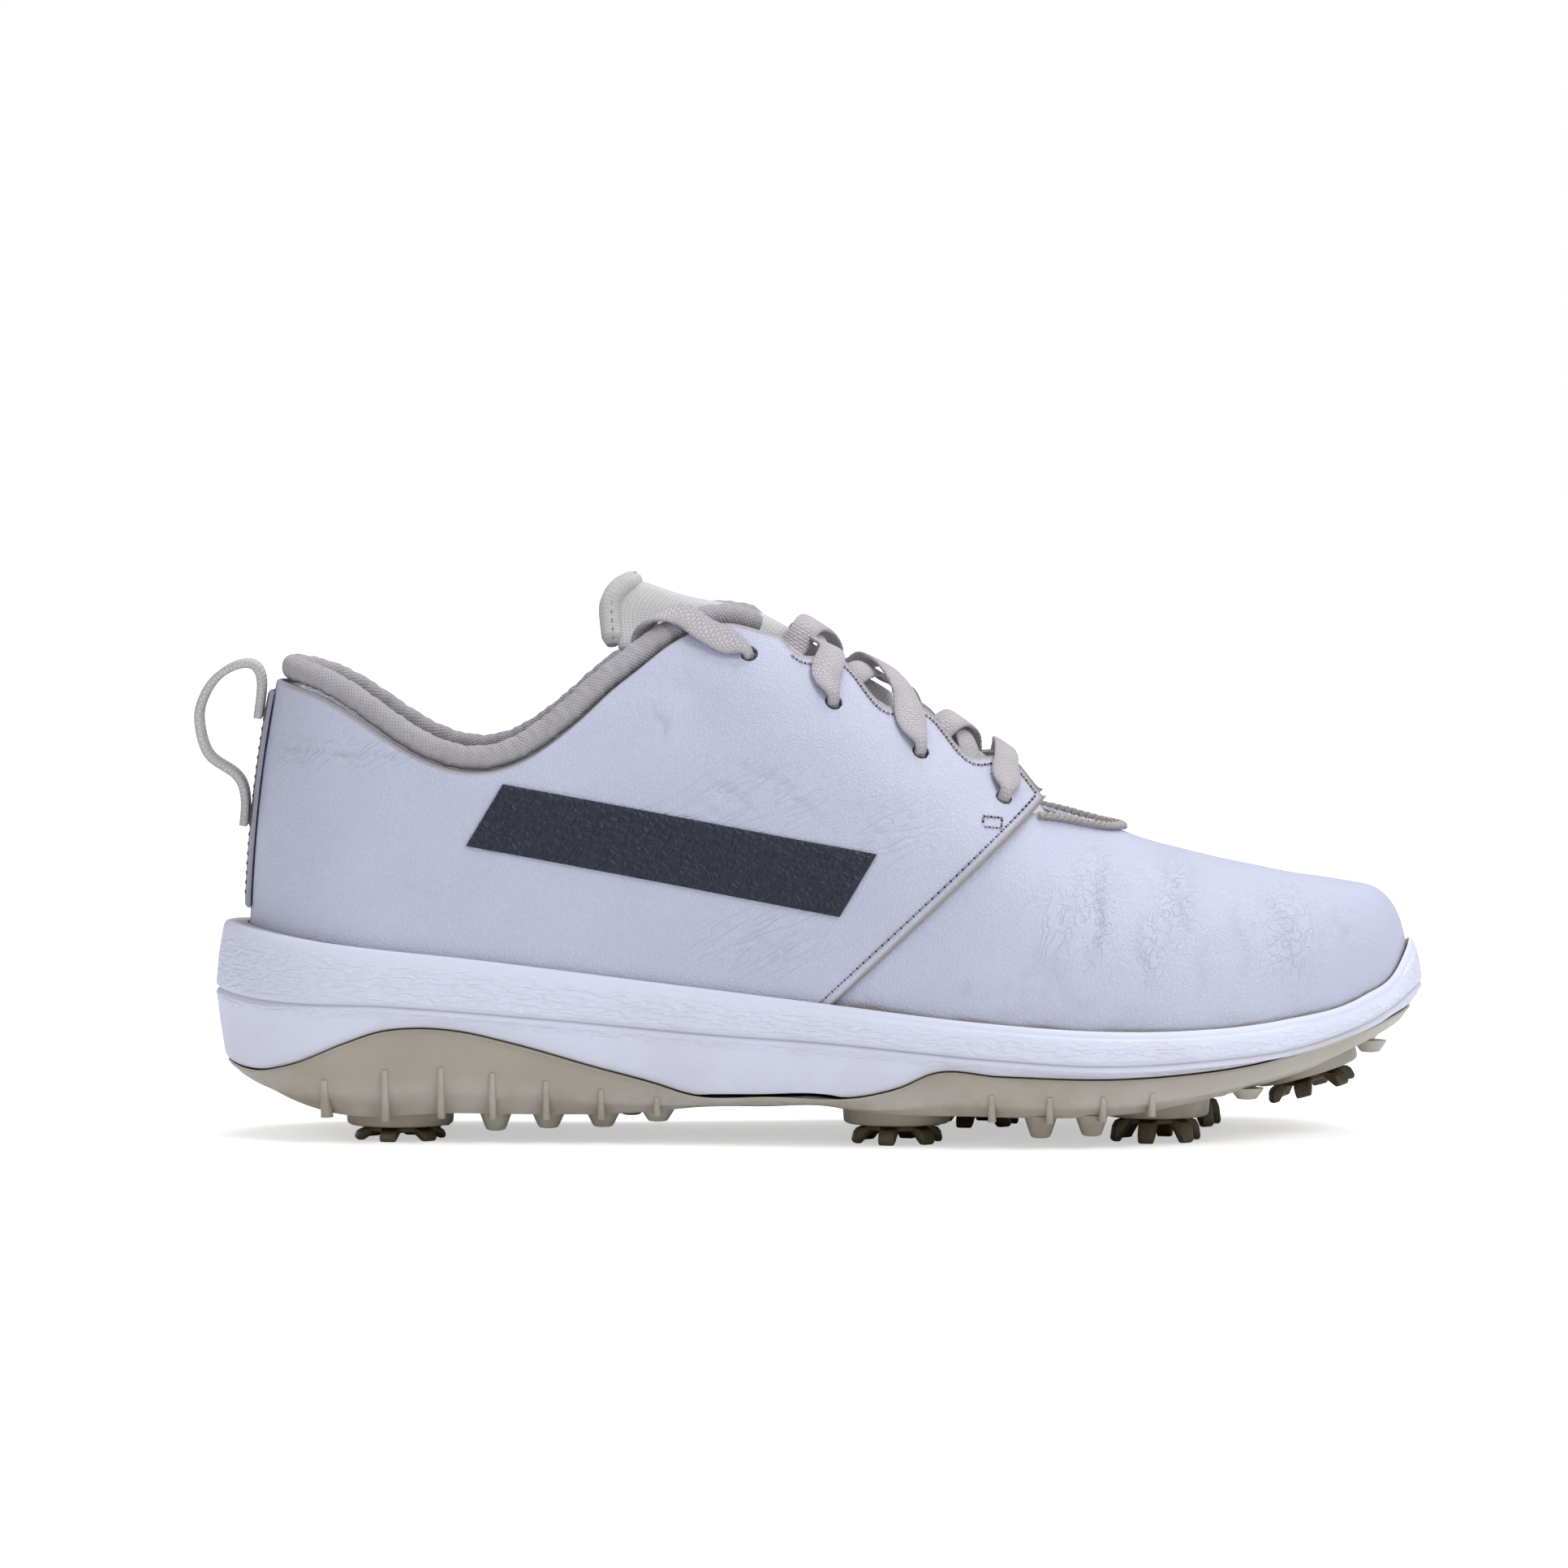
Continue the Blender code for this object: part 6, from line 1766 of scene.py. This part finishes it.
def rib(side, x):
    """A ridge up the wall: wide at the ground, narrow above, its corners rounded."""
    foot = float(underside(x))
    head = 0.45 * foot + 0.55 * float(line_height(x))
    level = np.linspace(0, 1, 8)[:, None]
    turn = 2 * math.pi * (np.arange(16) + 0.5) / 16
    c, s = np.cos(turn), np.sin(turn)
    half = 1.0 - 0.35 * level
    low_out, high_out = 8.4 + (5.6 - 8.4) * level, 4.4 + (4.0 - 4.4) * level
    along = x + half * np.sign(c) * np.abs(c)**0.6
    inset = (low_out + high_out) / 2 - (low_out - high_out) / 2 * np.sign(s) * np.abs(s)**0.6
    ring = ring_of(side, along)
    px, py = plan(ring)
    nx, ny = plan_normal(ring)
    out = float(margin(x)) - inset
    height = np.broadcast_to(foot - 0.6 + (head - foot + 0.6) * level, along.shape)
    return loft(np.stack([px + nx * out, py + ny * out, height], axis=-1))


# %% Outsole
def build_outsole():
    """A thin plate whose edge rises to the sole line, joined with everything moulded on it."""
    rings = [
        sole_ring(14.5, UNDER_LINE), sole_ring(8.5, UNDER_LINE + 0.4),
        sole_ring(5.2, 0.72 * UNDER_LINE + 0.28 * LINE),
        sole_ring(3.6, np.maximum(LINE - 1.5, UNDER_LINE + 1.3)),
        sole_ring(3.1, np.maximum(LINE - 0.9, UNDER_LINE + 1.6)),
        sole_ring(3.2, np.maximum(LINE - 0.35, UNDER_LINE + 2.2)),
        sole_ring(5.4, np.maximum(LINE - 1.0, BOTTOM - 0.6)),
        sole_ring(6.9, 0.7 * BOTTOM + 0.3 * LINE - 1.3), sole_ring(15, BOTTOM - 0.7),
    ]
    parts = [loft(between(rings, [3, 6, 8, 2, 1, 2, 2, 2]))]
    # Browner up the wall with height over the underside, most just under the midsole; the moulded
    # parts get a little brown too.
    tint_shares = [np.clip((parts[0][0][:, 2] - np.tile(UNDER_LINE, 27)) / 10, 0, 1) * 0.35]
    for side in (OUTER, INNER):
        for x, drop in EDGE_LUGS:
            px, py = plan(ring_of(side, x))
            inward = 5.5 if x < 280 else 10
            parts.append(lug(float(px), float(py) - side * inward, float(underside(x)), drop))
        parts += [rib(side, x) for x in RIBS]
    parts += [lug(x, y, float(underside(x)), 3.0) for x, y in MIDDLE_LUGS]
    pod = [(8.8, 0.0), (12.4, 0.0), (13.0, 0.35), (13.2, 1.0), (13.5, 4.4), (8.8, 4.4)]
    for _, x, y in CLEATS:
        points, faces = turned(pod)
        parts.append((placed(points, *cleat_frame(x, y)), faces))
    tint_shares += [np.full(len(part[0]), 0.18) for part in parts[1:]]
    parts = [(*facing_out(*part), np.zeros((len(part[0]), 2))) for part in parts]
    points, faces, _ = join(parts)
    piece = make_piece("rubber_outsole", points, faces, rubber_clear,
                       values={"tint_share": np.concatenate(tint_shares)}, sharp=40)
    return finish_piece(piece, "shoe", "outsole_rubber", "outsole")


build_outsole()

# %% [markdown]
# ## Soft cleats
# Seven six-legged plastic cleats screw into sockets in the pods. Each turns on its own
# axis, so each is its own piece on its own body. Its star is a turned shape whose radius
# and level swing six times a turn.

# %% Cleats
POST_RADIUS, CLEAT_LEGS, CLEAT_REACH = 4.1, 6, 11.4


def build_cleat(number, name, x, y):
    """Rings of radius and level; leg swings smoothly from 0 between legs to 1 on a leg."""
    x, y, z, tilt = cleat_frame(x, y)
    turn = 2 * math.pi * np.arange(144) / 144
    leg = smoothstep(-0.35, 0.6, np.cos(CLEAT_LEGS * (turn - math.pi / 12)))
    drop = z if tilt == 0 else 4.8
    full = np.ones_like(turn)
    rings = [
        (POST_RADIUS * full, 4.2 * full), (POST_RADIUS * full, -0.35 * full),
        (6.5 + 0.5 * leg, -0.35 - 0.25 * leg), (7.6 + (CLEAT_REACH - 8.8) * leg, -0.35 - 0.9 * leg),
        (7.85 + (CLEAT_REACH - 8.3) * leg, -0.8 - (0.35 * (drop - 2.4) + 0.5) * leg),
        (7.9 + (CLEAT_REACH - 7.95) * leg, -1.4 - (drop - 2.4) * leg),
        (7.85 + (CLEAT_REACH - 8.05) * leg, -1.45 - (drop - 1.8) * leg),
        (7.8 + (CLEAT_REACH - 8.4) * leg, -1.5 - (drop - 1.5) * leg),
        (7.7 + (CLEAT_REACH - 9.3) * leg, -1.6 - (drop - 1.6) * leg),
        (7.0 + 0.6 * leg, -1.8 - 0.4 * (drop - 2) * leg), (5.6 * full, -1.9 * full),
        (3.2 * full, -1.9 * full), (2.6 * full, -1.2 * full), (0.01 * full, -1.2 * full),
    ]
    radius, level = (np.array([ring[k] for ring in rings]) for k in (0, 1))
    grid = np.stack([radius * np.cos(turn), radius * np.sin(turn), level], axis=-1)
    top = grid[:1] * (0.002, 0.002, 1)
    grid = between(list(np.concatenate([top, grid])), [1, 2, 2, 2, 3, 4, 1, 1, 2, 3, 2, 2, 1, 1])
    n, m = grid.shape[:2]
    faces = tube_quads(np.arange(n * m).reshape(n, m))
    points = placed(grid.reshape(-1, 3), x, y, z, tilt)
    piece = make_piece("soft_cleat_" + name, points, faces, cleat_plastic, sharp=35)
    return finish_piece(piece, f"cleat_{number}", "cleat_plastic", "cleat_" + name)


for number, (name, x, y) in enumerate(CLEATS, 1):
    build_cleat(number, name, x, y)

# %% [markdown]
# ## Inside, and what the panels hide
# A cloth-topped foam sockliner lies on the insole board and lifts out. The other inner
# layers keep their engineering shapes, because nothing shows of them but an edge, and
# only take a proper finish.

# %% Sockliner
def build_sockliner():
    """A plate 3.4 mm thick that follows the footbed line, with rounded edges."""
    def ring(level, more):
        """A ring this far over the footbed line, drawn in by the seam's room and more."""
        out = -(6.6 + more)
        return np.column_stack([RING_X + out * RING_OUT[:, 0], RING_Y + out * RING_OUT[:, 1],
                                bed_height(RING_X) + level])
    grid = between([ring(1.8, 0.9), ring(1.9, 0.4), ring(2.4, 0.0), ring(4.4, 0.0),
                    ring(5.0, 0.35), ring(5.2, 1.2), ring(5.2, 6)], [1, 2, 3, 2, 2, 5])
    points, faces = loft(grid)
    uv = points[:, :2] * (1 / 100, 1)
    piece = make_piece("cloth_sockliner", points, faces, bed_cloth, uv=uv)
    finish_piece(piece, "insole", "sockliner_fabric", "sockliner")
    return piece


build_sockliner()

# %% Finishes of the inner layers
HIDDEN = {
    "vamp_lining": inner_cloth, "toe_puff": stiff_board, "collar_foam": inner_cloth,
    "heel_counter": stiff_board, "insole_board": stiff_board,
    **{"receptacle_" + name: socket_plastic for name, _, _ in CLEATS},
}
for name, paint in HIDDEN.items():
    node = frame["nodes"][name]
    for place in node.material_slots:
        place.material = paint
print("finished inner nodes:", len(HIDDEN))
